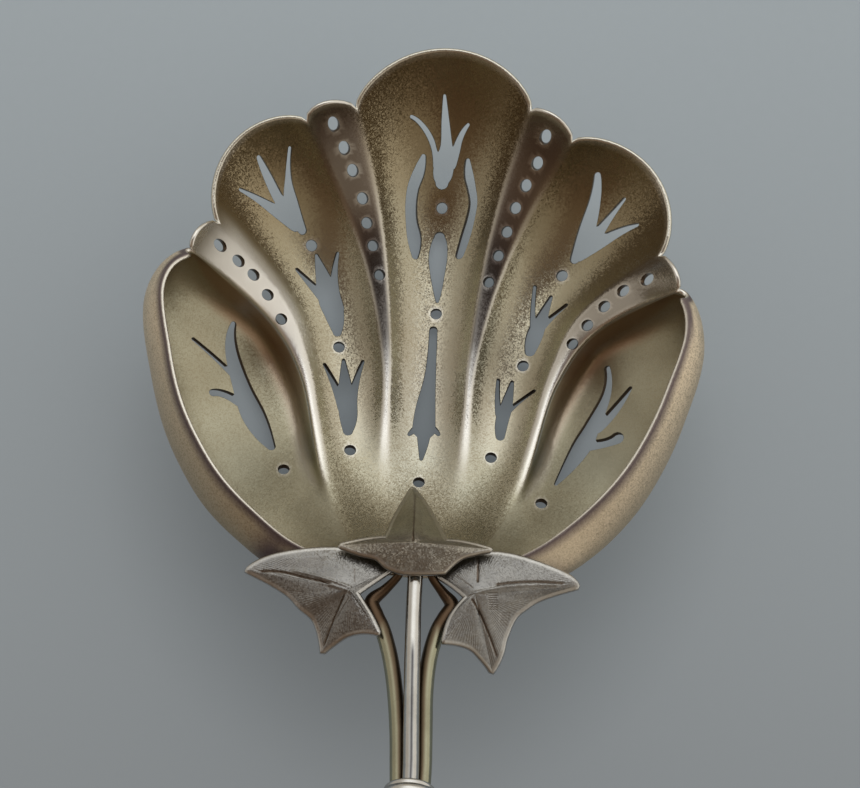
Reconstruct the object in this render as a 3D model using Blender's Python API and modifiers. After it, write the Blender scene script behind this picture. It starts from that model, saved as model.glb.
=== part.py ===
"""Sugar sifter ladle: a pierced scallop bowl carried by three ivy leaves and a handle of three wires.

Sizes are in millimetres on the bowl's own axes, x to the right, y from the heel to the far rim, z up
from the table, and every point goes to metres in the part's frame through `placed`.
"""

from collections import namedtuple

import bmesh
import bpy
import numpy as np
from mathutils import Matrix, Vector

MM = 0.001
# Distances below which points are welded, in metres.
WELD = 1e-6
SEAM_WELD = 1e-5
# The part's frame has its origin under the middle of the box.
SHIFT = np.array([0.65, 30.75, -0.05])
GROUND_BOX = 0.4

# Plan ellipse and heights of the bowl that the ribs' crests lie on.
HALF_WIDTH = 27.0
HALF_LENGTH = 28.0
FLOOR = 3.3
RIM = 14.5
WALL_POWER = 4.0
SHEET = 0.6

# Plan places of the ribs' edges, at even steps from the heel: those of the mid rib, then of the low rib,
# inner edge first, alike on both sides, and then the last place of each, at the rim, left and right.
RIB_EDGES = [
    [(1.3, 0.0), (3.65, 13.0), (4.3, 27.0), (6.0, 41.0)],
    [(2.4, 0.0), (4.45, 13.0), (5.2, 27.0), (8.7, 39.8)],
    [(3.9, 0.2), (9.8, 12.2), (12.9, 24.6), (16.4, 32.2)],
    [(5.1, 0.3), (10.7, 11.9), (14.0, 23.8), (18.6, 30.2)],
]
LEFT_RIB_ENDS = [(9.3, 52.1), (14.8, 49.9), (23.5, 38.1), (25.6, 33.8)]
RIGHT_RIB_ENDS = [(9.3, 52.1), (14.8, 49.9), (24.2, 36.7), (26.3, 32.1)]
# The side rims, at even steps from the heel to the notch beside the low rib.
SIDE_RIM = 5
LEFT_SIDE_RIM = [
    (-7.5, 0.6, 14.8), (-12.7, 2.3, 14.8), (-17.0, 5.5, 14.8), (-20.5, 8.9, 14.8), (-23.2, 12.75, 14.8),
    (-25.4, 17.1, 14.8), (-26.95, 22.3, 14.8), (-28.2, 29.3, 14.8), (-25.9, 33.1, 13.6),
]
RIGHT_SIDE_RIM = [
    (7.5, 0.6, 14.5), (12.1, 3.0, 14.2), (15.7, 5.95, 13.9), (18.8, 9.2, 13.9), (21.3, 12.6, 13.9),
    (23.4, 16.6, 13.9), (25.1, 21.0, 13.9), (26.9, 27.2, 13.9), (26.1, 31.3, 13.7),
]

# Sectors from left to right: the guides on both sides, the turn of the arc across, in degrees, the growth
# of the lobe past the rim, and the grid's columns.
Sector = namedtuple("Sector", "first last turn growth columns")
SECTORS = [
    Sector(-5, -4, 190.0, 0.0, 8),
    Sector(-4, -3, -12.0, 0.026, 2),
    Sector(-3, -2, 98.0, 0.037, 6),
    Sector(-2, -1, -12.0, 0.026, 2),
    Sector(-1, 1, 103.0, 0.058, 6),
    Sector(1, 2, -12.0, 0.020, 2),
    Sector(2, 3, 98.0, 0.040, 6),
    Sector(3, 4, -12.0, 0.020, 2),
    Sector(4, 5, 194.0, 0.0, 8),
]
# Section of a wing at even steps from the low rib to the side rim: the share of the way across, the shares
# of the rib's and of the rim's height above the wing's floor, and the share of the overhang past the rim.
WING_SECTION = [
    (0.0, 1.0, 0.0, 0.0), (0.04, 0.62, 0.0, 0.0), (0.09, 0.22, 0.01, 0.0), (0.18, 0.03, 0.045, 0.0),
    (0.34, 0.0, 0.11, 0.0), (0.52, 0.0, 0.19, 0.0), (0.71, 0.0, 0.275, 0.1), (0.88, 0.0, 0.38, 0.5),
    (0.97, 0.0, 0.55, 0.95), (1.0, 0.0, 0.78, 0.9), (1.0, 0.0, 1.0, 0.0),
]
LEFT_OVERHANG = 2.5
RIGHT_OVERHANG = 3.1
# The floor lies at one height, but no deeper below the rib than shares of the wing's width from heel to
# notch. The overhang is limited by the width too.
WING_FLOOR = -0.95
LEFT_DROPS = [0.06, 0.1, 0.24, 0.324, 0.32, 0.5]
RIGHT_DROPS = [0.06, 0.1, 0.25, 0.337, 0.33, 0.5]
WING_BLEND = 1.0
WING_HANG = 1.2
# The wings and the arcs across begin nearly flat at the heel, and are full from these shares of the length.
# The wings' drawn section gives way to an arc towards the notch.
WING_AT_HEEL = 0.15
WING_FULL_FROM = 0.1
WING_DRAWN_TO = 0.7
HANG_FULL_FROM = 0.1
FLUTES_FROM = 0.08
FLUTES_FULL_FROM = 0.42
LEAST_TURN = 0.02
LOBE_POWER = 0.6
# Step along a line, as a share of its length, for its direction.
SMALL_STEP = 2e-3
# How far along its length each guide ends at the rim's notches.
NOTCHES = {
    -5: 0.995, -4: 0.995, -3: 0.985, -2: 0.990, -1: 0.989, 1: 1.003, 2: 0.976, 3: 0.988, 4: 0.985, 5: 0.985,
}
ROWS = 16

# Round holes, drilled.
HOLE = 1.15
HOLE_SIDES = 8
HOLES = [
    (-11.7, 50.0), (-10.5, 48.2), (-9.5, 46.3), (-8.3, 43.7), (-7.7, 41.2), (-6.9, 38.8), (-6.0, 35.6),
    (11.3, 49.9), (10.6, 47.7), (9.5, 45.7), (8.5, 43.5), (7.7, 41.0), (6.9, 38.4), (6.0, 35.4),
    (-23.0, 35.6), (-21.1, 34.7), (-19.5, 33.7), (-17.9, 31.9), (-16.3, 29.5),
    (22.9, 34.4), (20.5, 33.8), (18.6, 32.4), (16.9, 30.5), (15.4, 28.5),
    (0.4, 44.3), (0.4, 32.2), (-0.4, 12.3),
    (-13.7, 38.8), (-10.0, 27.6), (-8.0, 15.6),
    (14.0, 36.9), (10.2, 26.5), (7.2, 15.6),
    (-15.0, 13.0), (12.8, 10.3),
]

# Sawn strokes as places along a middle line with the stroke's width there: x, y, width.
STROKES = {
    "centre_tulip_body": [
        (0.25, 47.0, 1.4), (0.3, 47.9, 2.1), (0.45, 49.2, 2.0), (0.55, 50.3, 1.4), (0.5, 51.2, 1.1),
        (0.3, 52.9, 0.8), (0.1, 55.0, 0.3),
    ],
    "centre_tulip_left": [
        (-0.3, 48.7, 1.0), (-0.7, 50.0, 0.55), (-1.1, 51.0, 0.55), (-1.75, 51.9, 0.5), (-2.6, 52.6, 0.4),
        (-3.4, 52.9, 0.3),
    ],
    "centre_tulip_right": [
        (1.2, 48.8, 1.0), (1.6, 50.1, 0.85), (1.9, 51.1, 0.65), (2.3, 51.9, 0.5), (2.8, 52.5, 0.3),
    ],
    "lyre_left": [
        (-1.9, 49.4, 0.5), (-2.3, 47.9, 1.15), (-2.85, 46.2, 1.2), (-3.0, 44.4, 1.2), (-2.85, 42.6, 1.25),
        (-2.45, 40.7, 1.5), (-2.25, 38.7, 0.7),
    ],
    "lyre_right": [
        (2.95, 49.1, 0.5), (3.15, 47.7, 0.95), (3.5, 46.4, 0.9), (3.8, 44.8, 0.85), (3.6, 43.1, 0.9),
        (3.15, 41.1, 1.0), (2.6, 39.0, 0.8),
    ],
    "bud": [
        (0.3, 41.1, 1.1), (0.3, 40.1, 1.75), (0.25, 38.6, 1.95), (0.3, 36.8, 1.5), (0.4, 35.0, 0.9),
        (0.45, 33.7, 0.3),
    ],
    "spear_shaft": [(0.2, 30.3, 0.8), (0.15, 25.2, 1.1), (-0.15, 21.4, 2.0), (-0.2, 18.8, 2.4)],
    "spear_point": [(-0.2, 19.4, 1.7), (-0.2, 17.2, 1.1), (-0.3, 15.2, 0.3)],
    "spear_barbs": [
        (-1.75, 18.0, 0.3), (-1.0, 18.8, 0.7), (-0.2, 19.2, 0.9), (0.7, 18.9, 0.7), (1.4, 18.2, 0.3),
    ],
    "left_top_right": [(-16.4, 47.6, 0.3), (-16.5, 45.2, 0.6), (-16.1, 42.9, 1.4), (-14.8, 40.3, 0.9)],
    "left_top_middle": [(-19.6, 46.2, 0.5), (-18.6, 44.7, 0.95), (-17.3, 42.8, 1.1), (-15.9, 41.3, 1.0)],
    "left_top_left": [(-21.4, 42.7, 0.3), (-19.6, 42.4, 0.7), (-17.6, 41.7, 1.2), (-15.6, 40.7, 1.3)],
    "left_mid_body": [(-10.3, 29.3, 0.9), (-10.7, 31.2, 2.0), (-11.5, 33.4, 2.3), (-13.1, 37.8, 0.3)],
    "left_mid_right": [(-10.4, 32.0, 1.3), (-11.0, 35.0, 0.8), (-10.8, 38.1, 0.3)],
    "left_mid_left": [(-11.8, 32.9, 1.2), (-13.3, 34.3, 0.8), (-15.1, 35.9, 0.3)],
    "left_low_body": [(-8.4, 17.9, 1.0), (-8.5, 20.0, 1.9), (-8.9, 22.3, 1.6), (-9.4, 26.1, 0.3)],
    "left_low_left": [(-9.0, 20.6, 1.3), (-10.1, 23.0, 0.75), (-11.4, 25.3, 0.3)],
    "left_low_right": [(-8.2, 20.6, 1.2), (-8.0, 23.2, 0.75), (-7.3, 26.0, 0.3)],
    "left_wing_slot": [(-21.6, 29.2, 0.5), (-21.6, 26.4, 1.3), (-20.3, 22.6, 1.9), (-18.6, 19.0, 2.5),
                       (-16.6, 15.8, 0.9)],
    "left_wing_barb": [(-20.9, 23.3, 0.6), (-23.4, 25.1, 0.4), (-25.6, 26.5, 0.3)],
    "left_wing_hook": [(-20.4, 20.6, 1.0), (-22.0, 21.2, 0.8), (-23.2, 21.1, 0.7)],
    "right_top_left": [(17.2, 46.5, 0.7), (17.1, 44.4, 1.2), (16.4, 41.6, 1.7), (15.3, 38.7, 1.0)],
    "right_top_middle": [(20.2, 44.1, 0.3), (18.8, 42.6, 0.7), (17.3, 40.8, 1.3), (15.9, 39.3, 1.2)],
    "right_top_right": [(21.7, 41.2, 0.3), (19.8, 40.9, 0.9), (17.8, 40.1, 1.3), (15.8, 38.9, 1.0)],
    "right_mid_body": [(10.9, 28.2, 1.1), (11.3, 30.0, 1.7), (11.9, 31.8, 1.3), (12.9, 34.5, 0.3)],
    "right_mid_left": [(11.1, 31.0, 0.6), (11.0, 33.2, 0.4), (11.1, 35.6, 0.3)],
    "right_mid_right": [(12.0, 31.0, 0.9), (13.2, 32.2, 0.5), (14.6, 33.4, 0.3)],
    "right_low_body": [(8.1, 18.2, 0.9), (8.2, 20.0, 1.3), (8.6, 21.8, 1.2), (9.1, 24.6, 0.3)],
    "right_low_left": [(7.8, 20.8, 0.6), (7.6, 22.8, 0.45), (7.6, 24.7, 0.3)],
    "right_low_right": [(8.7, 21.1, 0.6), (10.1, 22.4, 0.35), (11.5, 23.4, 0.3)],
    "right_wing_slot": [(19.4, 26.8, 0.5), (19.4, 23.9, 0.95), (18.1, 20.4, 1.6), (16.8, 17.4, 2.0),
                        (14.3, 12.9, 0.3)],
    "right_wing_barb": [(18.6, 19.7, 0.9), (20.3, 21.8, 0.95), (21.9, 24.1, 0.3)],
    "right_wing_hook": [(17.6, 17.8, 1.3), (19.4, 18.0, 1.0), (20.7, 18.5, 1.3)],
}
STROKE_STEPS = 6
# The cutters of the piercings reach this far up and down, about this height.
CUT_DEPTH = 30.0
CUT_MIDDLE = 8.0

# Ivy leaves: the upper face's outline as x, y, z, and the point the veins spread from.
LEAF_SHEET = 0.7
CENTRE_LEAF_HUB = (-0.2, 2.4, 17.8)
CENTRE_LEAF = [
    (-1.0, 10.9, 6.5), (-2.0, 8.2, 9.0), (-2.6, 6.1, 11.5), (-3.2, 4.2, 14.2), (-5.2, 3.0, 16.2),
    (-7.8, 1.9, 17.0), (-5.8, 1.2, 17.3), (-4.0, 0.8, 17.4), (-2.8, -0.1, 17.4), (-1.1, -0.6, 17.5),
    (1.2, -0.5, 17.5), (2.9, -0.3, 17.4), (4.4, 1.2, 17.4), (5.8, 1.8, 17.3), (7.5, 2.3, 17.0),
    (4.9, 3.1, 16.2), (2.9, 4.0, 14.2), (1.6, 6.3, 11.5), (0.5, 8.6, 9.0),
]
LEFT_LEAF_HUB = (-6.7, -2.7, 17.3)
LEFT_LEAF = [
    (-17.3, -0.8, 15.2), (-13.3, -2.8, 15.5), (-11.5, -4.4, 15.6), (-9.9, -5.8, 15.4), (-9.0, -8.8, 14.9),
    (-7.9, -7.9, 15.4), (-6.6, -7.1, 16.1), (-5.0, -6.8, 16.8), (-3.4, -7.0, 17.2), (-4.2, -5.5, 17.2),
    (-5.0, -4.3, 17.2), (-5.9, -3.0, 17.2), (-4.5, -1.7, 16.5), (-2.6, -0.1, 15.9), (-4.8, 1.2, 15.9),
    (-7.8, 1.7, 15.9), (-11.5, 1.4, 15.8), (-15.0, 0.6, 15.5),
]
RIGHT_LEAF_HUB = (6.2, -2.5, 17.3)
RIGHT_LEAF = [
    (16.6, -0.7, 15.2), (15.1, 0.5, 15.5), (10.8, 1.8, 15.8), (7.5, 2.1, 15.9), (4.0, 1.2, 15.9),
    (2.4, -0.5, 15.9), (3.9, -1.5, 16.5), (5.4, -2.8, 17.2), (4.3, -4.3, 17.2), (3.7, -5.6, 17.2),
    (3.3, -7.5, 17.2), (5.8, -7.7, 16.3), (7.2, -8.7, 15.6), (8.3, -9.9, 14.9), (9.1, -8.2, 15.2),
    (9.5, -6.3, 15.4), (10.3, -4.3, 15.6), (11.4, -3.2, 15.6), (13.0, -2.1, 15.5),
]

# The handle's middle line from the collar to the cap, and the three wires round it.
WIRE = 1.64
WIRE_ROUNDING = 2
LAY_RADIUS = 1.15
LAY_LENGTH = 24.0
SHAFT = [
    (0.75, -25.8, 22.2), (0.75, -40.5, 26.1), (0.75, -55.5, 27.2), (0.75, -70.5, 25.3), (0.75, -86.0, 20.2),
    (0.75, -101.0, 12.6), (0.75, -112.5, 5.7),
]
SHAFT_STEPS = 46
FREE_STEPS = 13
# Free run of each wire from the heel to the collar: x, y, z, and its share of the full thickness.
CENTRE_RUN = [
    (0.0, 1.0, 15.6, 1.0), (0.0, -1.2, 15.65, 1.0), (0.05, -5.4, 16.4, 1.0), (0.3, -11.9, 18.4, 1.0),
    (0.55, -17.4, 20.5, 1.0), (0.75, -21.6, 22.0, 1.0),
]
LEFT_RUN = [
    (-1.55, 0.5, 15.8, 0.45), (-1.7, -0.6, 15.65, 0.5), (-3.0, -2.0, 14.95, 0.65), (-4.3, -3.3, 14.8, 0.95),
    (-3.8, -4.8, 15.1, 1.0), (-3.0, -6.4, 15.5, 1.0), (-2.1, -9.2, 16.2, 1.0), (-1.4, -12.7, 17.3, 1.0),
    (-0.85, -17.2, 19.0, 1.0), (-0.55, -21.6, 20.45, 1.0),
]
RIGHT_RUN = [
    (1.55, 0.5, 15.8, 0.45), (1.65, -0.6, 15.65, 0.45), (2.9, -2.0, 14.95, 0.65), (3.9, -3.3, 14.8, 0.95),
    (3.2, -4.8, 15.1, 1.0), (2.5, -6.4, 15.5, 1.0), (1.9, -9.2, 16.2, 1.0), (1.7, -12.7, 17.3, 1.0),
    (1.85, -17.2, 19.0, 1.0), (1.98, -21.6, 20.45, 1.0),
]
# Where each wire lies round the middle line at the collar, in degrees from the right.
CENTRE_ANGLE = 90.0
LEFT_ANGLE = 210.0
RIGHT_ANGLE = 330.0

# Turned profiles as radius and place along the handle, listed from the bowl's side.
TURN_STEPS = 24
COLLAR_PROFILE = [(2.25, 2.6), (2.6, 2.6), (2.95, 1.9), (3.1, 1.3), (2.95, 0.7), (2.6, 0.0), (2.25, 0.0)]
COLLAR_AT = 0.0
CAP_PROFILE = [
    (0.0, -3.3), (2.3, -3.3), (2.3, 2.2), (2.8, 2.2), (3.1, 1.5), (2.7, 0.7), (3.2, -1.4), (3.5, -3.6),
    (3.3, -5.8), (2.4, -7.8), (1.1, -9.0), (0.0, -9.3),
]
CAP_AT = 1.0


def clear_scene():
    for obj in list(bpy.data.objects):
        bpy.data.objects.remove(obj, do_unlink=True)


def placed(points):
    """Bowl millimetres to the part's frame in metres."""
    return (np.asarray(points, float)[..., :3] + SHIFT) * MM


def spline(points, t):
    """Cubic curve through points at even steps of t from 0 to 1, running on straight past 1."""
    knots = np.asarray(points, float)
    spans = len(knots) - 1
    slope = np.empty_like(knots)
    slope[1:-1] = (knots[2:] - knots[:-2]) / 2
    slope[0] = 2 * (knots[1] - knots[0]) - slope[1]
    slope[-1] = 2 * (knots[-1] - knots[-2]) - slope[-2]
    at = np.asarray(t, float) * spans
    left = np.clip(np.floor(at).astype(int), 0, spans - 1)
    f = np.clip(at - left, 0, 1)[..., None]
    past = np.maximum(at - spans, 0)[..., None]
    ends = knots[left] * (1 + 2 * f) * (1 - f) ** 2 + knots[left + 1] * f * f * (3 - 2 * f)
    turns = slope[left] * f * (1 - f) ** 2 + slope[left + 1] * f * f * (f - 1)
    return ends + turns + past * slope[-1]


def ramp(low, high, x):
    u = np.clip((x - low) / (high - low), 0, 1)
    return u * u * (3 - 2 * u)


def on_crest(plan):
    """A plan place raised to the bowl that the ribs' crests lie on."""
    reach = np.hypot(plan[..., 0] / HALF_WIDTH, (plan[..., 1] - HALF_LENGTH) / HALF_LENGTH)
    height = FLOOR + (RIM - FLOOR) * reach**WALL_POWER
    return np.concatenate([plan, height[..., None]], -1)


def guide(index, t):
    """Rib edges 1 to 4 and the side rim 5, counted out from the middle, on the left below zero."""
    order = abs(index)
    if order == SIDE_RIM:
        return spline(LEFT_SIDE_RIM if index < 0 else RIGHT_SIDE_RIM, t)
    ends = LEFT_RIB_ENDS if index < 0 else RIGHT_RIB_ENDS
    plan = spline(RIB_EDGES[order - 1] + [ends[order - 1]], t)
    return on_crest(plan * [np.sign(index), 1])


def rim_reach(sector, k):
    """How far along its length the sheet runs at a share k across the sector: from notch to notch, and out
    by the lobe's growth between them."""
    level = NOTCHES[sector.first] * (1 - k) + NOTCHES[sector.last] * k
    return level + sector.growth * np.sin(np.pi * k) ** LOBE_POWER


def unit(vectors):
    return vectors / np.linalg.norm(vectors, axis=-1, keepdims=True)


def wing_points(sector, k, t):
    """Places in a wing: the drawn section, laid from the low rib to the side rim, swept from heel to rim."""
    on_left = sector.first == -SIDE_RIM
    rib = guide(sector.last if on_left else sector.first, t)
    rim = guide(sector.first if on_left else sector.last, t)
    s = 1 - k if on_left else k
    across, rib_share, rim_share, hang_share = np.moveaxis(spline(WING_SECTION, s), -1, 0)
    span = rim - rib
    width = np.linalg.norm(span, axis=-1)
    full = WING_AT_HEEL + (1 - WING_AT_HEEL) * ramp(0.0, WING_FULL_FROM, t)
    drops = np.array(LEFT_DROPS if on_left else RIGHT_DROPS)[:, None]
    deepest = rib[..., 2] - spline(drops, t)[..., 0] * width
    floor = (WING_FLOOR + deepest + np.hypot(WING_FLOOR - deepest, WING_BLEND)) / 2
    most = LEFT_OVERHANG if on_left else RIGHT_OVERHANG
    hang = most * WING_HANG * width / np.hypot(most, WING_HANG * width) * ramp(0.0, HANG_FULL_FROM, t)
    across = s + (across - s) * full
    level = rib[..., 2] + span[..., 2] * across
    drawn = floor + (rib[..., 2] - floor) * rib_share + (rim[..., 2] - floor) * rim_share
    aside = unit(span[..., :2]) * (hang * hang_share)[..., None]
    plan = rib[..., :2] + span[..., :2] * across[..., None] + aside
    return np.concatenate([plan, (level + (drawn - level) * full)[..., None]], -1)


def sector_points(sector, k, t):
    """Places in the sector between two guides: an arc across from guide to guide, swept from heel to rim, and
    in a wing the drawn section but near the notch."""
    left = guide(sector.first, t)
    right = guide(sector.last, t)
    earlier = np.maximum(t - SMALL_STEP, 0)
    before = guide(sector.first, earlier) + guide(sector.last, earlier)
    after = guide(sector.first, t + SMALL_STEP) + guide(sector.last, t + SMALL_STEP)
    chord = right - left
    width = np.linalg.norm(chord, axis=-1, keepdims=True)
    outward = unit(np.cross(after - before, chord))
    wing = SIDE_RIM in (abs(sector.first), abs(sector.last))
    turn = np.radians(sector.turn) * (1.0 if wing else ramp(FLUTES_FROM, FLUTES_FULL_FROM, t))
    turn = np.where(np.abs(turn) < LEAST_TURN, LEAST_TURN, turn)
    swing = turn * (k - 0.5)
    across = 0.5 + np.sin(swing) / (2 * np.sin(turn / 2))
    sag = (np.cos(swing) - np.cos(turn / 2)) / (2 * np.sin(turn / 2))
    arc = left + chord * across[..., None] + outward * width * sag[..., None]
    if not wing:
        return arc
    return arc + (wing_points(sector, k, t) - arc) * ramp(1.0, WING_DRAWN_TO, t)[..., None]


def bowl_points():
    """Rows of the bowl's inner face from heel to rim, each from the left side rim to the right one."""
    tau = np.linspace(0, 1, ROWS + 1)
    columns = []
    for sector in SECTORS:
        steps = np.linspace(0, 1, sector.columns + 1)
        keep = steps if sector.last == SIDE_RIM else steps[:-1]
        k, rows = np.meshgrid(keep, tau, indexing="ij")
        columns.append(sector_points(sector, k, rows * rim_reach(sector, k)))
    return np.concatenate(columns).transpose(1, 0, 2)


def new_collection(name, cutters=False):
    made = bpy.data.collections.new(name)
    made.hide_render = cutters
    bpy.context.scene.collection.children.link(made)
    return made


def new_material(name, colour, roughness):
    made = bpy.data.materials.new(name)
    made.use_nodes = True
    shader = made.node_tree.nodes["Principled BSDF"]
    shader.inputs["Base Color"].default_value = (*colour, 1.0)
    shader.inputs["Metallic"].default_value = 1.0
    shader.inputs["Roughness"].default_value = roughness
    made.diffuse_color = (*colour, 1.0)
    return made


def move_to(obj, collection):
    for old in list(obj.users_collection):
        old.objects.unlink(obj)
    collection.objects.link(obj)


def finish_piece(obj, name, collection, material):
    obj.name = name
    obj.data.name = name
    obj.data.materials.clear()
    obj.data.materials.append(material)
    move_to(obj, collection)
    return obj


def set_points(mesh, points):
    mesh.vertices.foreach_set("co", np.asarray(points, np.float32).ravel())
    mesh.update()


def as_mesh(curve_piece, name):
    """A mesh object in place of a curve object, with the caps welded on."""
    graph = bpy.context.evaluated_depsgraph_get()
    mesh = bpy.data.meshes.new_from_object(curve_piece.evaluated_get(graph))
    soup = bmesh.new()
    soup.from_mesh(mesh)
    bmesh.ops.remove_doubles(soup, verts=soup.verts, dist=WELD)
    bmesh.ops.recalc_face_normals(soup, faces=soup.faces)
    soup.to_mesh(mesh)
    soup.free()
    place = curve_piece.matrix_world.copy()
    bpy.data.objects.remove(curve_piece, do_unlink=True)
    made = bpy.data.objects.new(name, mesh)
    made.matrix_world = place
    bpy.context.scene.collection.objects.link(made)
    return made


def curve_object(name, points, dimensions, cyclic=False, radii=None):
    curve = bpy.data.curves.new(name, "CURVE")
    curve.dimensions = dimensions
    line = curve.splines.new("POLY")
    line.points.add(len(points) - 1)
    full = np.zeros((len(points), 4))
    full[:, : points.shape[1]] = points
    full[:, 3] = 1.0
    line.points.foreach_set("co", full.ravel())
    if radii is not None:
        line.points.foreach_set("radius", radii)
    line.use_cyclic_u = cyclic
    made = bpy.data.objects.new(name, curve)
    bpy.context.scene.collection.objects.link(made)
    return made


def stroke_outline(stroke):
    """Plan outline of a sawn stroke: its middle line, set off half its width to each side."""
    t = np.linspace(0, 1, STROKE_STEPS)
    run = spline(stroke, t)
    along = unit(np.gradient(run[:, :2], axis=0))
    aside = np.stack([-along[:, 1], along[:, 0]], -1) * run[:, 2:] / 2
    return np.concatenate([run[:, :2] + aside, (run[:, :2] - aside)[::-1]])


def make_cutters(collection):
    """Vertical prisms for the piercings, and the slab below the table that flattens the resting places."""
    for index, (x, y) in enumerate(HOLES):
        bpy.ops.mesh.primitive_cylinder_add(
            vertices=HOLE_SIDES,
            radius=HOLE / 2 * MM,
            depth=CUT_DEPTH * MM,
            location=placed((x, y, CUT_MIDDLE)),
        )
        cutter = bpy.context.object
        cutter.name = f"hole_{index + 1:02d}"
        move_to(cutter, collection)
    for name, stroke in STROKES.items():
        outline = (stroke_outline(stroke) + SHIFT[:2]) * MM
        prism = curve_object(name, outline, "2D", cyclic=True)
        prism.data.fill_mode = "BOTH"
        prism.data.extrude = CUT_DEPTH / 2 * MM
        prism.location = (0, 0, CUT_MIDDLE * MM)
        bpy.context.view_layer.update()
        move_to(as_mesh(prism, name), collection)
    for cutter in collection.objects:
        cutter.hide_render = True
        cutter.display_type = "WIRE"


def make_ground(collection):
    bpy.ops.mesh.primitive_cube_add(size=GROUND_BOX, location=(0, 0, -GROUND_BOX / 2))
    ground = bpy.context.object
    ground.name = "below_table"
    ground.hide_render = True
    ground.display_type = "WIRE"
    move_to(ground, collection)
    return ground


def cut(obj, name, cutter=None, collection=None):
    boolean = obj.modifiers.new(name, "BOOLEAN")
    boolean.operation = "DIFFERENCE"
    boolean.solver = "EXACT"
    if collection is not None:
        boolean.operand_type = "COLLECTION"
        boolean.collection = collection
    else:
        boolean.object = cutter


def thicken(obj, thickness):
    shell = obj.modifiers.new("sheet", "SOLIDIFY")
    shell.thickness = thickness * MM
    shell.offset = -1.0
    shell.use_rim = True


def make_bowl(parts, material, piercings, ground):
    points = placed(bowl_points())
    rows, columns, _ = points.shape
    bpy.ops.mesh.primitive_grid_add(x_subdivisions=columns - 1, y_subdivisions=rows - 1, size=1)
    bowl = bpy.context.object
    set_points(bowl.data, points.reshape(-1, 3))
    finish_piece(bowl, "bowl", parts, material)
    thicken(bowl, SHEET)
    cut(bowl, "piercings", collection=piercings)
    cut(bowl, "resting_faces", cutter=ground)


def make_leaf(name, hub, outline, parts, material):
    """A fan of facets from the veins' hub to the outline, with the casting's thickness below it."""
    bpy.ops.mesh.primitive_circle_add(vertices=len(outline), radius=1, fill_type="TRIFAN")
    leaf = bpy.context.object
    set_points(leaf.data, placed([hub] + outline))
    soup = bmesh.new()
    soup.from_mesh(leaf.data)
    bmesh.ops.recalc_face_normals(soup, faces=soup.faces)
    if sum(face.normal.z for face in soup.faces) < 0:
        bmesh.ops.reverse_faces(soup, faces=soup.faces)
    soup.to_mesh(leaf.data)
    soup.free()
    finish_piece(leaf, name, parts, material)
    thicken(leaf, LEAF_SHEET)


def shaft_frame(t):
    """Middle line of the handle, with its direction and the direction that points up and square to it."""
    middle = spline(SHAFT, t)
    along = unit(spline(SHAFT, t + SMALL_STEP) - spline(SHAFT, np.maximum(t - SMALL_STEP, 0)))
    upward = np.cross(along, [-1.0, 0.0, 0.0])
    upward *= np.sign(upward[..., 2:])
    return middle, along, upward


def wire_points(run, angle):
    """A wire's free run from the heel, then its lay round the handle's middle line."""
    t = np.linspace(0, 1, SHAFT_STEPS)
    middle, _, upward = shaft_frame(t)
    travelled = np.concatenate([[0], np.cumsum(np.linalg.norm(np.diff(middle, axis=0), axis=1))])
    phase = np.radians(angle) + 2 * np.pi * travelled / LAY_LENGTH
    lay = middle + LAY_RADIUS * (
        np.cos(phase)[:, None] * np.array([1.0, 0.0, 0.0]) + np.sin(phase)[:, None] * upward
    )
    lay = np.concatenate([lay, np.ones((SHAFT_STEPS, 1))], 1)
    knots = np.concatenate([np.asarray(run), lay[:1]])
    free = spline(knots, np.linspace(0, 1, FREE_STEPS))[:-1]
    return np.concatenate([free, lay])


def make_wire(name, run, angle, parts, material):
    points = wire_points(run, angle)
    wire = curve_object(name, placed(points), "3D", radii=points[:, 3])
    wire.data.bevel_depth = WIRE / 2 * MM
    wire.data.bevel_resolution = WIRE_ROUNDING
    wire.data.use_fill_caps = True
    bpy.context.view_layer.update()
    finish_piece(as_mesh(wire, name), name, parts, material)


def make_turned(name, profile, t, parts, material, ground=None):
    """A profile turned about the handle's middle line, at a share t of the handle's length."""
    mesh = bpy.data.meshes.new(name)
    points = [(radius * MM, 0.0, place * MM) for radius, place in profile]
    on_axis = profile[0][0] == 0.0
    count = len(points)
    edges = [(i, i + 1) for i in range(count - 1)]
    if not on_axis:
        edges.append((count - 1, 0))
    mesh.from_pydata(points, edges, [])
    turned = bpy.data.objects.new(name, mesh)
    bpy.context.scene.collection.objects.link(turned)
    screw = turned.modifiers.new("turned", "SCREW")
    screw.steps = TURN_STEPS
    screw.render_steps = TURN_STEPS
    screw.use_merge_vertices = True
    screw.merge_threshold = SEAM_WELD
    screw.use_normal_calculate = True
    middle, along, upward = shaft_frame(np.array(t))
    back = Vector(-along)
    turned.matrix_world = Matrix.Translation(placed(middle)) @ Matrix(
        (Vector((1, 0, 0)), back.cross(Vector((1, 0, 0))), back)
    ).transposed().to_4x4()
    bpy.context.view_layer.update()
    finish_piece(turned, name, parts, material)
    if ground is not None:
        cut(turned, "resting_face", cutter=ground)


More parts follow.
